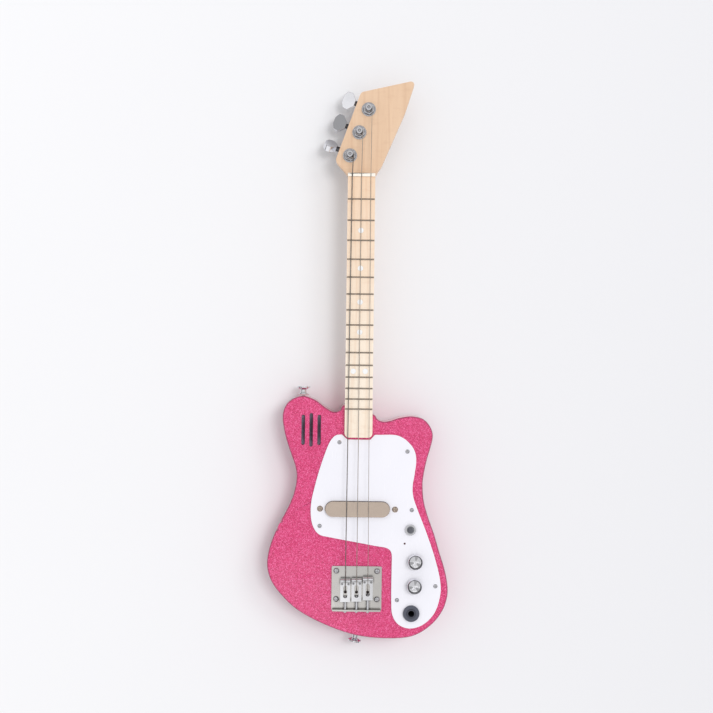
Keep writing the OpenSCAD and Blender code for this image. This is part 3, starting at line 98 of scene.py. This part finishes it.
class Look:
    """A Principled material, and short calls that add the nodes of its detail."""

    def __init__(self, name, color, **sockets):
        self.material = bpy.data.materials.new(name)
        self.material.use_nodes = True
        self.tree = self.material.node_tree
        self.shader = self.tree.nodes["Principled BSDF"]
        self.shader.inputs["Base Color"].default_value = color
        for key, value in sockets.items():
            self.shader.inputs[key.replace("_", " ")].default_value = value
        self.object_point = self.new("ShaderNodeTexCoord").outputs["Object"]

    def new(self, kind, **settings):
        node = self.tree.nodes.new(kind)
        for key, value in settings.items():
            setattr(node, key, value)
        return node

    def put(self, socket, value):
        """A link if value is an output, or else a plain value."""
        if isinstance(value, bpy.types.NodeSocket):
            self.tree.links.new(value, socket)
        elif value is not None:
            socket.default_value = value

    def stretch(self, scale, turn=(0, 0, 0)):
        node = self.new("ShaderNodeMapping")
        self.put(node.inputs["Vector"], self.object_point)
        node.inputs["Scale"].default_value = scale
        node.inputs["Rotation"].default_value = turn
        return node.outputs["Vector"]

    def noise(self, size, point=None, detail=3.0, rough=0.55, distort=0.0):
        """Cloudy noise from 0 to 1, whose blobs are about size metres across."""
        node = self.new("ShaderNodeTexNoise")
        self.put(node.inputs["Vector"], point or self.object_point)
        node.inputs["Scale"].default_value = 0.5 / size
        node.inputs["Detail"].default_value = detail
        node.inputs["Roughness"].default_value = rough
        node.inputs["Distortion"].default_value = distort
        return node.outputs["Fac"]

    def cells(self, size, point=None, feature="F1", output="Color"):
        node = self.new("ShaderNodeTexVoronoi", feature=feature)
        self.put(node.inputs["Vector"], point or self.object_point)
        node.inputs["Scale"].default_value = 1 / size
        return node.outputs[output]

    def bands(self, size, point=None, distort=0.0, detail=2.0, axis="X"):
        node = self.new("ShaderNodeTexWave", bands_direction=axis)
        self.put(node.inputs["Vector"], point or self.object_point)
        node.inputs["Scale"].default_value = math.tau / 20 / size
        node.inputs["Distortion"].default_value = distort
        node.inputs["Detail"].default_value = detail
        return node.outputs["Fac"]

    def ramp(self, value, stops):
        node = self.new("ShaderNodeValToRGB")
        self.put(node.inputs["Fac"], value)
        while len(node.color_ramp.elements) < len(stops):
            node.color_ramp.elements.new(0.5)
        for element, (position, color) in zip(node.color_ramp.elements, stops):
            element.position = position
            element.color = color
        return node.outputs["Color"]

    def fit(self, value, low, high, from_low=0.0, from_high=1.0):
        """Value stretched from one span to another, and held inside it."""
        node = self.new("ShaderNodeMapRange")
        self.put(node.inputs["Value"], value)
        for key, number in (
            ("From Min", from_low),
            ("From Max", from_high),
            ("To Min", low),
            ("To Max", high),
        ):
            node.inputs[key].default_value = number
        return node.outputs["Result"]

    def mix(self, factor, first, second, blend="MIX"):
        node = self.new("ShaderNodeMix", data_type="RGBA", blend_type=blend)
        self.put(node.inputs[0], factor)
        self.put(node.inputs[6], first)
        self.put(node.inputs[7], second)
        return node.outputs[2]

    def math(self, operation, first, second=None):
        node = self.new("ShaderNodeMath", operation=operation)
        self.put(node.inputs[0], first)
        self.put(node.inputs[1], second)
        return node.outputs[0]

    def vector(self, operation, first, second=None, scale=None):
        node = self.new("ShaderNodeVectorMath", operation=operation)
        self.put(node.inputs[0], first)
        self.put(node.inputs[1], second)
        if scale is not None:
            node.inputs["Scale"].default_value = scale
        return node.outputs[0]

    def bump(self, height, depth, normal=None):
        node = self.new("ShaderNodeBump")
        self.put(node.inputs["Height"], height)
        self.put(node.inputs["Normal"], normal)
        node.inputs["Distance"].default_value = depth
        return node.outputs["Normal"]

    def set(self, **sockets):
        for key, value in sockets.items():
            self.put(self.shader.inputs[key.replace("_", " ")], value)
        return self


def sparkle_look():
    """Pink paint full of small flakes, each tilted its own way, under a thick clear coat."""
    look = Look(
        "sparkle_paint",
        rgb(226, 84, 136),
        Coat_Weight=1.0,
        Coat_Roughness=0.03,
    )
    flakes = look.cells(0.55 * MM)
    clusters = look.cells(0.75 * MM)
    small = look.new("ShaderNodeSeparateColor")
    look.put(small.inputs[0], flakes)
    big = look.new("ShaderNodeSeparateColor")
    look.put(big.inputs[0], clusters)
    tone = look.math(
        "ADD",
        look.math("MULTIPLY", small.outputs[0], 0.5),
        look.math("MULTIPLY", big.outputs[1], 0.5),
    )
    color = look.ramp(tone, [
        (0.12, rgb(184, 22, 82)),
        (0.4, rgb(221, 46, 114)),
        (0.62, rgb(232, 62, 130)),
        (0.86, rgb(255, 126, 182)),
    ])
    # Slow changes of depth in the lacquer
    depth = look.noise(26 * MM, detail=2.0)
    color = look.mix(look.fit(depth, 0.0, 0.22, 0.35, 0.75), color, rgb(196, 34, 96))
    # Painted shade along the rounded edges: the colour darkens where the surface leans between
    # flat and upright
    geometry = look.new("ShaderNodeNewGeometry")
    facing = look.new("ShaderNodeSeparateXYZ")
    look.put(facing.inputs[0], geometry.outputs["Normal"])
    lean = look.math("ABSOLUTE", facing.outputs["Z"])
    edge = look.math("MULTIPLY", look.fit(lean, 0, 1, 0.2, 0.4), look.fit(lean, 1, 0, 0.7, 0.9))
    color = look.mix(look.math("MULTIPLY", edge, 0.7), color, rgb(120, 30, 70))
    tilt = look.vector("SUBTRACT", flakes, (0.5, 0.5, 0.5))
    tilt = look.vector("SCALE", tilt, scale=0.6)
    normal = look.vector("NORMALIZE", look.vector("ADD", geometry.outputs["Normal"], tilt))
    shine = look.fit(small.outputs[2], 0.0, 0.55, 0.55, 1.0)
    peel = look.bump(look.noise(5 * MM, detail=1.0), 0.008 * MM)
    look.set(Base_Color=color, Normal=normal, Metallic=shine, Coat_Normal=peel)
    look.set(Roughness=look.fit(small.outputs[1], 0.28, 0.55))
    return look


def maple_look(name, light, dark, fleck, roughness, coat, fade=None):
    """Pale maple with its grain along the neck, fine fibres, cross ripples and a few brown lines.

    fade is (Y of the pale end, Y of the dark end, colour that the dark end turns to).
    """
    look = Look(name, light, Coat_Weight=coat, Coat_Roughness=0.12)
    long_grain = look.stretch((1, 0.07, 1))
    fibre_grain = look.stretch((1, 0.05, 1))
    ripple_grain = look.stretch((0.3, 1, 0.3), turn=(0, 0, 0.12))
    warp = look.noise(34 * MM, detail=2.0)
    broad = look.noise(7 * MM, long_grain, detail=5.0, rough=0.6, distort=0.8)
    fibres = look.noise(0.5 * MM, fibre_grain, detail=4.0, rough=0.65)
    ripple = look.noise(1.6 * MM, ripple_grain, detail=3.0, distort=0.5)
    figure = look.bands(13 * MM, look.stretch((1, 0.12, 1)), distort=7.0, detail=2.0)
    color = look.mix(look.fit(broad, 0, 1, 0.3, 0.72), light, dark)
    color = look.mix(look.fit(figure, 0, 0.16, 0.86, 1.0), color, fleck)
    color = look.mix(look.fit(fibres, 0, 0.15, 0.5, 0.74), color, fleck)
    color = look.mix(look.fit(ripple, 0, 0.15, 0.52, 0.74), color, fleck)
    color = look.mix(look.fit(warp, 0, 0.25, 0.4, 0.7), color, dark)
    if fade:
        pale_end, dark_end, deeper = fade
        split = look.new("ShaderNodeSeparateXYZ")
        look.put(split.inputs[0], look.object_point)
        along = look.fit(split.outputs["Y"], 0, 1, pale_end, dark_end)
        color = look.mix(along, color, deeper, "MULTIPLY")
    look.set(
        Base_Color=color,
        Roughness=look.fit(fibres, roughness - 0.06, roughness + 0.1, 0.3, 0.7),
        Normal=look.bump(fibres, 0.015 * MM),
    )
    return look


def plastic_look(name, color, shade, roughness=0.3, grain=0.0, coat=0.0):
    """Moulded plastic: slow shade changes, a few fine scuffs and an uneven gloss."""
    look = Look(name, color, Coat_Weight=coat, Coat_Roughness=0.08)
    cloud = look.noise(22 * MM, detail=3.0)
    scuffs = look.noise(0.5 * MM, look.stretch((1, 0.08, 1), turn=(0.0, 0.0, 0.9)), detail=2.0)
    fine = look.noise(max(grain, 0.35 * MM), detail=2.0)
    tone = look.mix(look.fit(cloud, 0, 0.5, 0.35, 0.7), color, shade)
    tone = look.mix(look.fit(scuffs, 0, 0.2, 0.72, 0.85), tone, shade)
    look.set(
        Base_Color=tone,
        Roughness=look.fit(scuffs, roughness - 0.03, roughness + 0.1, 0.4, 0.8),
        Normal=look.bump(fine, 0.02 * MM if grain else 0.002 * MM),
    )
    return look


def metal_look(name, color, tint, roughness=0.1, brush=None, tarnish=0.25, crevice=0.55):
    """Plated or bare metal: smudges, hairlines along an axis, and painted shade that darkens the
    crevices.
    """
    look = Look(name, color, Metallic=1.0)
    smudge = look.noise(7 * MM, detail=3.0)
    point = look.stretch(brush or (1, 1, 0.06))
    hair = look.noise(0.25 * MM, point, detail=2.0)
    # Painted shade: ambient occlusion within 3 mm darkens the colour in crevices and recesses
    nearby = look.new("ShaderNodeAmbientOcclusion", samples=8)
    nearby.inputs["Distance"].default_value = 3 * MM
    crevice_shade = look.fit(nearby.outputs["AO"], crevice, 0.0, 0.4, 0.95)
    tone = look.mix(look.fit(smudge, 0, tarnish, 0.45, 0.8), color, tint)
    tone = look.mix(crevice_shade, tone, rgb(58, 52, 50))
    look.set(
        Base_Color=tone,
        Roughness=look.math(
            "ADD",
            look.fit(smudge, roughness * 0.7, roughness * 1.6, 0.3, 0.75),
            look.fit(hair, 0, roughness * 0.5, 0.45, 0.75),
        ),
        Normal=look.bump(hair, 0.0015 * MM),
    )
    return look


def wound_look():
    """The wound string: nickel wire laid in tight turns."""
    look = Look("wound_string", rgb(120, 112, 104), Metallic=1.0, Roughness=0.34)
    grime = look.noise(2.5 * MM, detail=3.0)
    look.set(
        Base_Color=look.mix(
            look.fit(grime, 0, 0.6, 0.4, 0.7), rgb(150, 144, 140), rgb(110, 103, 99)
        ),
        Roughness=look.fit(grime, 0.26, 0.5, 0.3, 0.7),
        Normal=look.bump(look.bands(0.42 * MM, axis="Y"), 0.05 * MM),
    )
    return look


def glow_look():
    """The unlit lens of the indicator lamp: deep red plastic."""
    look = Look("lamp_lens", rgb(92, 18, 22), Roughness=0.12, Coat_Weight=0.6)
    cloud = look.noise(0.8 * MM, detail=2.0)
    depth = look.fit(cloud, 0, 1, 0.3, 0.7)
    look.set(Base_Color=look.mix(depth, rgb(92, 18, 22), rgb(54, 10, 14)))
    return look


def fibre_look(name, color, dark, size=0.5 * MM):
    """Felt or paper: tangled fibres, matt."""
    look = Look(name, color, Roughness=0.92, Sheen_Weight=0.3)
    tangle = look.noise(size, detail=4.0, rough=0.7, distort=1.2)
    look.set(
        Base_Color=look.mix(look.fit(tangle, 0, 1, 0.35, 0.65), color, dark),
        Normal=look.bump(tangle, 0.12 * MM),
    )
    return look


def winding_look():
    """Enamelled copper wire in fine turns round the coil."""
    look = Look("coil_winding", rgb(168, 92, 48), Metallic=0.8, Roughness=0.32)
    turns = look.bands(0.22 * MM, distort=0.4, axis="Z")
    look.set(
        Base_Color=look.mix(turns, rgb(120, 58, 28), rgb(196, 112, 60)),
        Normal=look.bump(turns, 0.06 * MM),
    )
    return look


def board_look():
    """Green circuit board with paler tracks and a matt mask."""
    look = Look("board_mask", rgb(30, 92, 58), Roughness=0.35, Coat_Weight=0.3)
    tracks = look.cells(3.4 * MM, feature="DISTANCE_TO_EDGE", output="Distance")
    look.set(
        Base_Color=look.mix(look.fit(tracks, 1, 0, 0.05, 0.1), rgb(30, 92, 58), rgb(58, 132, 78)),
        Normal=look.bump(tracks, 0.05 * MM),
    )
    return look


LOOKS = {
    "sparkle_pink": sparkle_look(),
    "maple_neck": maple_look(
        "neck_maple", rgb(236, 205, 175), rgb(226, 191, 159), rgb(192, 144, 108), 0.42, 0.15
    ),
    "maple_board": maple_look(
        "board_maple",
        rgb(253, 241, 226),
        rgb(249, 233, 213),
        rgb(214, 164, 122),
        0.36,
        0.2,
        (220 * MM, 415 * MM, rgb(247, 229, 213)),
    ),
    "white_plastic": plastic_look("guard_plastic", rgb(242, 241, 248), rgb(237, 237, 245), 0.22),
    "marker_white": plastic_look("marker_plastic", rgb(250, 250, 250), rgb(240, 240, 242), 0.2),
    "nut_plastic": plastic_look("nut_bone", rgb(252, 246, 236), rgb(242, 232, 216), 0.34),
    "chrome": metal_look("bright_chrome", rgb(234, 234, 238), rgb(210, 210, 216), 0.05),
    "nickel": metal_look(
        "warm_nickel", rgb(222, 204, 189), rgb(200, 181, 164), 0.12, (0.06, 1, 1)
    ),
    "fret_wire": metal_look(
        "fret_nickel", rgb(176, 164, 152), rgb(140, 128, 118), 0.2, (0.05, 1, 1)
    ),
    "bridge_steel": metal_look(
        "bridge_plating", rgb(218, 215, 211), rgb(192, 188, 183), 0.1, (1, 0.06, 1), crevice=0.9
    ),
    "tuner_metal": metal_look(
        "tuner_plating", rgb(226, 226, 230), rgb(196, 197, 202), 0.06, crevice=0.95
    ),
    "dark_steel": metal_look("dark_steel", rgb(96, 96, 100), rgb(62, 62, 66), 0.28),
    "string_steel": metal_look(
        "plain_string", rgb(190, 181, 172), rgb(164, 153, 143), 0.4, (1, 0.04, 1), crevice=0.0
    ),
    "string_wound": wound_look(),
    "black_plastic": plastic_look(
        "black_plastic", rgb(46, 47, 53), rgb(32, 33, 38), 0.42, 0.3 * MM
    ),
    "gray_plastic": plastic_look(
        "gray_plastic", rgb(120, 122, 128), rgb(98, 100, 106), 0.45, 0.3 * MM
    ),
    "felt": fibre_look("pale_felt", rgb(226, 206, 206), rgb(200, 172, 176)),
    "coil_wire": winding_look(),
    "magnet_iron": metal_look("magnet_iron", rgb(92, 92, 96), rgb(60, 58, 58), 0.45, tarnish=0.6),
    "led_red": glow_look(),
    "speaker_parts": fibre_look(
        "speaker_paper", rgb(148, 146, 160), rgb(112, 110, 126), 0.7 * MM
    ),
    "battery_can": plastic_look(
        "battery_jacket", rgb(196, 120, 44), rgb(150, 84, 30), 0.3, coat=0.4
    ),
    "circuit_board": board_look(),
    "lead_wire": plastic_look("lead_cover", rgb(40, 40, 44), rgb(28, 28, 32), 0.5),
}
JACK_LOOK = plastic_look("jack_plastic", rgb(84, 87, 100), rgb(66, 68, 80), 0.36, 0.3 * MM)
JACK_INNER_LOOK = plastic_look("jack_sleeve", rgb(66, 68, 80), rgb(50, 52, 62), 0.4, 0.3 * MM)
SADDLE_LOOK = metal_look(
    "saddle_plating", rgb(244, 244, 247), rgb(226, 226, 230), 0.08, (1, 0.06, 1), crevice=0.85
)
CAP_LOOK = plastic_look("button_cap", rgb(96, 97, 104), rgb(66, 67, 74), 0.3, 0.3 * MM)


# ---- Meshes ----

SAME_POINT = 0.002 * MM
FLAT_ANGLE = 0.6
# Edges that turn by more degrees than this are rounded
EASED_ANGLE = 35
OUTLINE_ANGLE = 60
# Faces that meet at more degrees than this keep a sharp edge between them
SMOOTH_ANGLE = 38
SHELL_SMOOTH_ANGLE = 42
DOME_SMOOTH_ANGLE = 50
OUTLINE_ROUND = 2.6 * MM
OUTLINE_SEGMENTS = 6
SLOT_RIM = 0.55 * MM
# Two outline points closer than this, front and back, are the same corner
OUTLINE_GRID = 0.05 * MM
ON_FACE = 0.01 * MM
NORMAL_WEIGHT = 100


def clean_copy(node):
    """The CAD node's mesh with doubled points joined and flat faces merged."""
    mesh = bmesh.new()
    mesh.from_mesh(NODES[node].data)
    bmesh.ops.remove_doubles(mesh, verts=mesh.verts, dist=SAME_POINT)
    bmesh.ops.dissolve_limit(
        mesh,
        angle_limit=math.radians(FLAT_ANGLE),
        verts=mesh.verts,
        edges=mesh.edges,
    )
    return mesh


def sharp_edges(mesh, angle):
    return [
        e
        for e in mesh.edges
        if len(e.link_faces) == 2 and e.calc_face_angle(0.0) > math.radians(angle)
    ]


def bevel(mesh, edges, width, segments, clamp=True):
    bmesh.ops.bevel(
        mesh,
        geom=edges,
        offset=width,
        offset_type="OFFSET",
        segments=segments,
        profile=0.5,
        affect="EDGES",
        clamp_overlap=clamp,
    )


def add_piece(mesh, name, body, look, stands_for, smooth=SMOOTH_ANGLE):
    """Makes an object of a bmesh, gives it its look and puts it on its body."""
    data = bpy.data.meshes.new(name)
    bmesh.ops.recalc_face_normals(mesh, faces=mesh.faces)
    mesh.to_mesh(data)
    mesh.free()
    data.shade_smooth()
    data.set_sharp_from_angle(angle=math.radians(smooth))
    data.materials.append(look.material)
    piece = bpy.data.objects.new(name, data)
    bpy.context.scene.collection.objects.link(piece)
    # Flat faces shade flat, and only the rounds at their edges turn
    shading = piece.modifiers.new("face_normals", "WEIGHTED_NORMAL")
    shading.mode = "FACE_AREA"
    shading.weight = NORMAL_WEIGHT
    shading.keep_sharp = True
    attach(piece, body)
    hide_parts(*stands_for)


def dress(node, width, segments, look=None):
    """A copy of a CAD node with its edges eased, in the node's place."""
    mesh = clean_copy(node)
    bevel(mesh, sharp_edges(mesh, EASED_ANGLE), width, segments)
    slot = SLOT_OF[node]
    add_piece(mesh, f"{node}_shaped", NODES[node]["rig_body"], look or LOOKS[slot], (node,))


def loops_of(edges):
    """Connected groups of edges, the longest first."""
    left = set(edges)
    groups = []
    while left:
        group, front = set(), [left.pop()]
        while front:
            edge = front.pop()
            group.add(edge)
            for vert in edge.verts:
                for other in vert.link_edges:
                    if other in left:
                        left.remove(other)
                        front.append(other)
        groups.append(group)
    return sorted(groups, key=lambda g: -sum(e.calc_length() for e in g))


def body_shell():
    """The body with a round along its outline, front and back, and eased speaker slots."""
    mesh = clean_copy("body")
    low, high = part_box("body")
    sharp = sharp_edges(mesh, OUTLINE_ANGLE)
    bottom = [e for e in sharp if all(abs(v.co.z - low.z) < ON_FACE for v in e.verts)]
    outline = loops_of(bottom)[0]

    def spot(vert):
        return round(vert.co.x / OUTLINE_GRID), round(vert.co.y / OUTLINE_GRID)

    spots = {spot(v) for e in outline for v in e.verts}

    def near(vert):
        x, y = spot(vert)
        return any((x + i, y + j) in spots for i in (-1, 0, 1) for j in (-1, 0, 1))

    top = [
        e
        for e in sharp
        if all(abs(v.co.z - high.z) < ON_FACE and near(v) for v in e.verts)
    ]
    bevel(mesh, list(outline) + top, OUTLINE_ROUND, OUTLINE_SEGMENTS, clamp=False)
    # Narrow rims round the speaker slots
    grille_low, grille_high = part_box("speaker")
    rims = [
        e
        for e in sharp_edges(mesh, OUTLINE_ANGLE)
        if all(
            abs(v.co.z - high.z) < ON_FACE
            and grille_low.x < v.co.x < grille_high.x
            and grille_low.y < v.co.y < grille_high.y
            for v in e.verts
        )
    ]
    bevel(mesh, rims, SLOT_RIM, 2)
    slot = SLOT_OF["body"]
    add_piece(mesh, "body_shell", "guitar", LOOKS[slot], ("body",), SHELL_SMOOTH_ANGLE)


body_shell()


def lathe(profile, centre, segments=96):
    """A bmesh of a profile of (radius, height) turned about the Z axis through centre."""
    mesh = bmesh.new()
    rings = []
    for radius, height in profile:
        if radius == 0:
            rings.append([mesh.verts.new((centre[0], centre[1], height))])
            continue
        rings.append([
            mesh.verts.new((
                centre[0] + radius * math.cos(math.tau * k / segments),
                centre[1] + radius * math.sin(math.tau * k / segments),
                height,
            ))
            for k in range(segments)
        ])
    for low, high in zip(rings, rings[1:]):
        for k in range(segments):
            following = (k + 1) % segments
            corners = [
                low[k % len(low)],
                low[following % len(low)],
                high[following % len(high)],
                high[k % len(high)],
            ]
            face = list(dict.fromkeys(corners))
            if len(face) > 2:
                mesh.faces.new(face)
    return mesh


def arc(centre_r, centre_z, radius, start, end, steps):
    """Points of a profile on an arc, with its angles in degrees up from the radial direction."""
    return [
        (
            centre_r + radius * math.cos(math.radians(start + (end - start) * k / steps)),
            centre_z + radius * math.sin(math.radians(start + (end - start) * k / steps)),
        )
        for k in range(steps + 1)
    ]


# The knobs: the dome's rise as a share of its radius, then its shoulder, cup and shaft
DOME_RISE = 0.46
DOME_STEPS = 26
SHOULDER = 2.2 * MM
KNOB_EDGE = 0.5 * MM
KNOB_GAP = 1 * MM
CUP_RADIUS = 6.2 * MM
CUP_DEPTH = 4 * MM
SHAFT_RADIUS = 3 * MM
SHAFT_CHAMFER = 0.3 * MM


def domed_knob(node):
    """A smooth domed knob with its cup and shaft underneath."""
    low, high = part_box(node)
    centre = (low + high) / 2
    radius = (high.x - low.x) / 2
    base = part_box("panel_nuts")[0].z + KNOB_GAP
    rise = radius * DOME_RISE
    rim = high.z - rise
    dome_r = (radius * radius + rise * rise) / (2 * rise)
    edge = math.degrees(math.asin((dome_r - rise) / dome_r))
    cup_top = base + CUP_DEPTH
    # The shoulder starts a little below the dome's last points
    profile = arc(0, high.z - dome_r, dome_r, 90, edge + 4, DOME_STEPS)
    profile += arc(radius - SHOULDER, rim - 0.2 * MM, SHOULDER, edge - 2, 0, 5)
    profile += arc(radius - KNOB_EDGE, base + KNOB_EDGE, KNOB_EDGE, 0, -90, 5)
    profile += [(CUP_RADIUS, base), (CUP_RADIUS, cup_top), (SHAFT_RADIUS, cup_top)]
    profile += [(SHAFT_RADIUS, low.z + SHAFT_CHAMFER)]
    profile += [(SHAFT_RADIUS - SHAFT_CHAMFER, low.z), (0, low.z)]
    mesh = lathe(profile, centre)
    slot = SLOT_OF[node]
    add_piece(mesh, f"{node}_dome", node, LOOKS[slot], (node,), DOME_SMOOTH_ANGLE)


domed_knob("volume_knob")
domed_knob("drive_knob")

# Nodes whose edges are eased: node, width in mm, segments
EASED = {
    "neck": (0.5, 3),
    "fretboard": (0.3, 2),
    "nut": (0.25, 2),
    "neck_plate": (0.3, 2),
    "pickguard": (0.45, 2),
    "pickup_cover": (0.9, 4),
    "bridge_plate": (0.3, 2),
    "saddle_1": (0.25, 2),
    "saddle_2": (0.25, 2),
    "saddle_3": (0.25, 2),
    "tuner_housings": (0.3, 2),
    "tuner_bushings": (0.7, 4),
    "tuner_washers": (0.5, 4),
    "tuner_post_1": (0.45, 3),
    "tuner_post_2": (0.45, 3),
    "tuner_post_3": (0.45, 3),
    "tuner_button_1": (0.3, 2),
    "tuner_button_2": (0.3, 2),
    "tuner_button_3": (0.3, 2),
    "power_button": (0.2, 2),
    "panel_nuts": (0.2, 2),
    "jack_nut": (0.3, 3),
    "jack_body": (0.2, 2),
    "battery_box": (0.25, 2),
    "battery_door": (0.2, 2),
    "back_cover": (0.25, 2),
    "strap_buttons": (0.25, 2),
    "strap_washers": (0.2, 2),
}
OTHER_LOOKS = {
    "jack_nut": JACK_LOOK,
    "jack_body": JACK_INNER_LOOK,
    "power_button": CAP_LOOK,
    "saddle_1": SADDLE_LOOK,
    "saddle_2": SADDLE_LOOK,
    "saddle_3": SADDLE_LOOK,
}
for node, (width, segments) in EASED.items():
    dress(node, width * MM, segments, look=OTHER_LOOKS.get(node))

for node, thing in NODES.items():
    if thing.hide_render:
        continue
    thing.data.materials.clear()
    thing.data.materials.append(LOOKS[SLOT_OF[node]].material)


# ---- Floor, lights and camera ----

CAMERA_AT = Vector((-3.0 * MM, 228.9 * MM, 1288 * MM))
CAMERA_UP = Vector((-0.01237, 0.99992, 0))
CAMERA_VIEW = 33.0
SENSOR_WIDTH = 36
FLOOR_SIZE = 9.0
FLOOR_GAP = 0.1 * MM
LIT_PLACE = Vector((0, 0.2, 0))
WORLD_LEVEL = 0.8
ROOM_LEVEL = 1.1
# How dark each thing in the mirrored room is
OPENINGS_DARK = 0.62
WALLS_DARK = 0.9
PATCHES_DARK = 0.4
FAR_END_DARK = 0.35


def paper_look():
    """Pale paper, with painted shade that darkens it towards +X."""
    look = Look("floor_paper", rgb(232, 232, 234), Roughness=0.7, Specular_IOR_Level=0.2)
    split = look.new("ShaderNodeSeparateXYZ")
    look.put(split.inputs[0], look.object_point)
    # Painted shade: the floor colour darkens from -X to +X in place of uneven light
    across = look.fit(split.outputs["X"], 0, 1, -0.4, 0.4)
    tone = look.mix(across, rgb(237, 237, 239), rgb(221, 221, 224))
    cloud = look.noise(0.4, detail=2.0)
    look.set(Base_Color=look.mix(look.fit(cloud, 0, 0.2, 0.3, 0.7), tone, rgb(228, 228, 231)))
    return look


def make_floor():
    mesh = bmesh.new()
    bmesh.ops.create_grid(mesh, x_segments=2, y_segments=2, size=FLOOR_SIZE)
    data = bpy.data.meshes.new("floor")
    mesh.to_mesh(data)
    mesh.free()
    floor = bpy.data.objects.new("floor", data)
    floor.location = (0, 0, CAD_BOX[0][2] - FLOOR_GAP)
    data.materials.append(paper_look().material)
    bpy.context.scene.collection.objects.link(floor)
    return floor


def add_lamp(name, place, size, power):
    """A square lamp that points at the guitar."""
    light = bpy.data.lights.new(name, "AREA")
    light.shape = "RECTANGLE"
    light.size = light.size_y = size
    light.energy = power
    lamp = bpy.data.objects.new(name, light)
    lamp.location = place
    lamp.rotation_mode = "QUATERNION"
    lamp.rotation_quaternion = (LIT_PLACE - Vector(place)).to_track_quat("-Z", "Y")
    bpy.context.scene.collection.objects.link(lamp)
    return lamp


def make_world():
    """Even pale light, and in reflections a bright room with dark openings and low dark walls."""
    world = bpy.data.worlds.new("studio")
    bpy.context.scene.world = world
    world.use_nodes = True
    tree = world.node_tree

    def new(kind, **settings):
        node = tree.nodes.new(kind)
        for key, value in settings.items():
            setattr(node, key, value)
        return node

    def calc(operation, first, second=0.0, third=0.0):
        node = new("ShaderNodeMath", operation=operation)
        for socket, value in zip(node.inputs, (first, second, third)):
            if isinstance(value, bpy.types.NodeSocket):
                tree.links.new(value, socket)
            else:
                socket.default_value = value
        return node.outputs[0]

    def soft_step(value, low, high):
        node = new("ShaderNodeMapRange", interpolation_type="SMOOTHSTEP")
        tree.links.new(value, node.inputs["Value"])
        node.inputs["From Min"].default_value = low
        node.inputs["From Max"].default_value = high
        return node.outputs["Result"]

    coord = new("ShaderNodeTexCoord")
    split = new("ShaderNodeSeparateXYZ")
    tree.links.new(coord.outputs["Generated"], split.inputs[0])
    x, y, z = split.outputs
    # Three dark openings between the windows, from the walls' foot almost up to the lamps
    around = calc("MULTIPLY", calc("ARCTAN2", y, x), 3.0)
    openings = soft_step(calc("COSINE", calc("ADD", around, 2.2)), 0.35, 0.65)
    openings = calc("MULTIPLY", openings, soft_step(z, 0.3, 0.4))
    openings = calc("MULTIPLY", openings, calc("SUBTRACT", 1.0, soft_step(z, 0.93, 0.96)))
    # Dark furniture low along the walls
    walls = calc(
        "MULTIPLY", soft_step(z, 0.0, 0.04), calc("SUBTRACT", 1.0, soft_step(z, 0.3, 0.38))
    )
    # Soft patches of shade, and a dim far end of the ceiling
    clouds = new("ShaderNodeTexNoise")
    clouds.inputs["Scale"].default_value = 5.0
    clouds.inputs["Detail"].default_value = 1.0
    tree.links.new(coord.outputs["Generated"], clouds.inputs["Vector"])
    patches = calc("MULTIPLY", soft_step(clouds.outputs["Fac"], 0.44, 0.6), PATCHES_DARK)
    far_end = calc("MULTIPLY", soft_step(y, 0.09, 0.14), FAR_END_DARK)
    dark_walls = calc("MULTIPLY", walls, WALLS_DARK)
    dark = calc("MAXIMUM", calc("MULTIPLY", openings, OPENINGS_DARK), dark_walls)
    dark = calc("MAXIMUM", dark, calc("MAXIMUM", patches, far_end))
    shown = calc("MULTIPLY", calc("SUBTRACT", 1.0, dark), ROOM_LEVEL)
    # Reflections show the room, and its light arrives evenly
    path = new("ShaderNodeLightPath")
    change = calc("SUBTRACT", shown, WORLD_LEVEL)
    level = calc("MULTIPLY_ADD", path.outputs["Is Glossy Ray"], change, WORLD_LEVEL)
    back = tree.nodes["Background"]
    tree.links.new(level, back.inputs["Strength"])
    back.inputs["Color"].default_value = (1.0, 1.0, 1.005, 1)


def make_camera():
    data = bpy.data.cameras.new("camera")
    camera = bpy.data.objects.new("camera", data)
    data.sensor_width = SENSOR_WIDTH
    data.lens = data.sensor_width / 2 / math.tan(math.radians(CAMERA_VIEW / 2))
    data.clip_start, data.clip_end = 0.01, 50
    back = Vector((0, 0, 1))
    up = CAMERA_UP.normalized()
    right = up.cross(back).normalized()
    camera.matrix_world = Matrix((
        (right.x, up.x, back.x, CAMERA_AT.x),
        (right.y, up.y, back.y, CAMERA_AT.y),
        (right.z, up.z, back.z, CAMERA_AT.z),
        (0, 0, 0, 1),
    ))
    bpy.context.scene.collection.objects.link(camera)
    bpy.context.scene.camera = camera


stage_floor = make_floor()
make_world()
# Glossy surfaces mirror the room and not this lamp's hard outline
overhead_lamp = add_lamp("overhead", (1.8, 1.1, 5.2), 1.8, 96)
overhead_lamp.visible_glossy = False
# The low lamp only draws the long soft shadows on the floor
low_lamp = add_lamp("low", (4.6, 2.8, 5.4), 2.4, 78)
lit_by_low_lamp = bpy.data.collections.new("lit_by_low_lamp")
lit_by_low_lamp.objects.link(stage_floor)
low_lamp.light_linking.receiver_collection = lit_by_low_lamp
make_camera()
scene = bpy.context.scene
scene.view_settings.view_transform = "Standard"
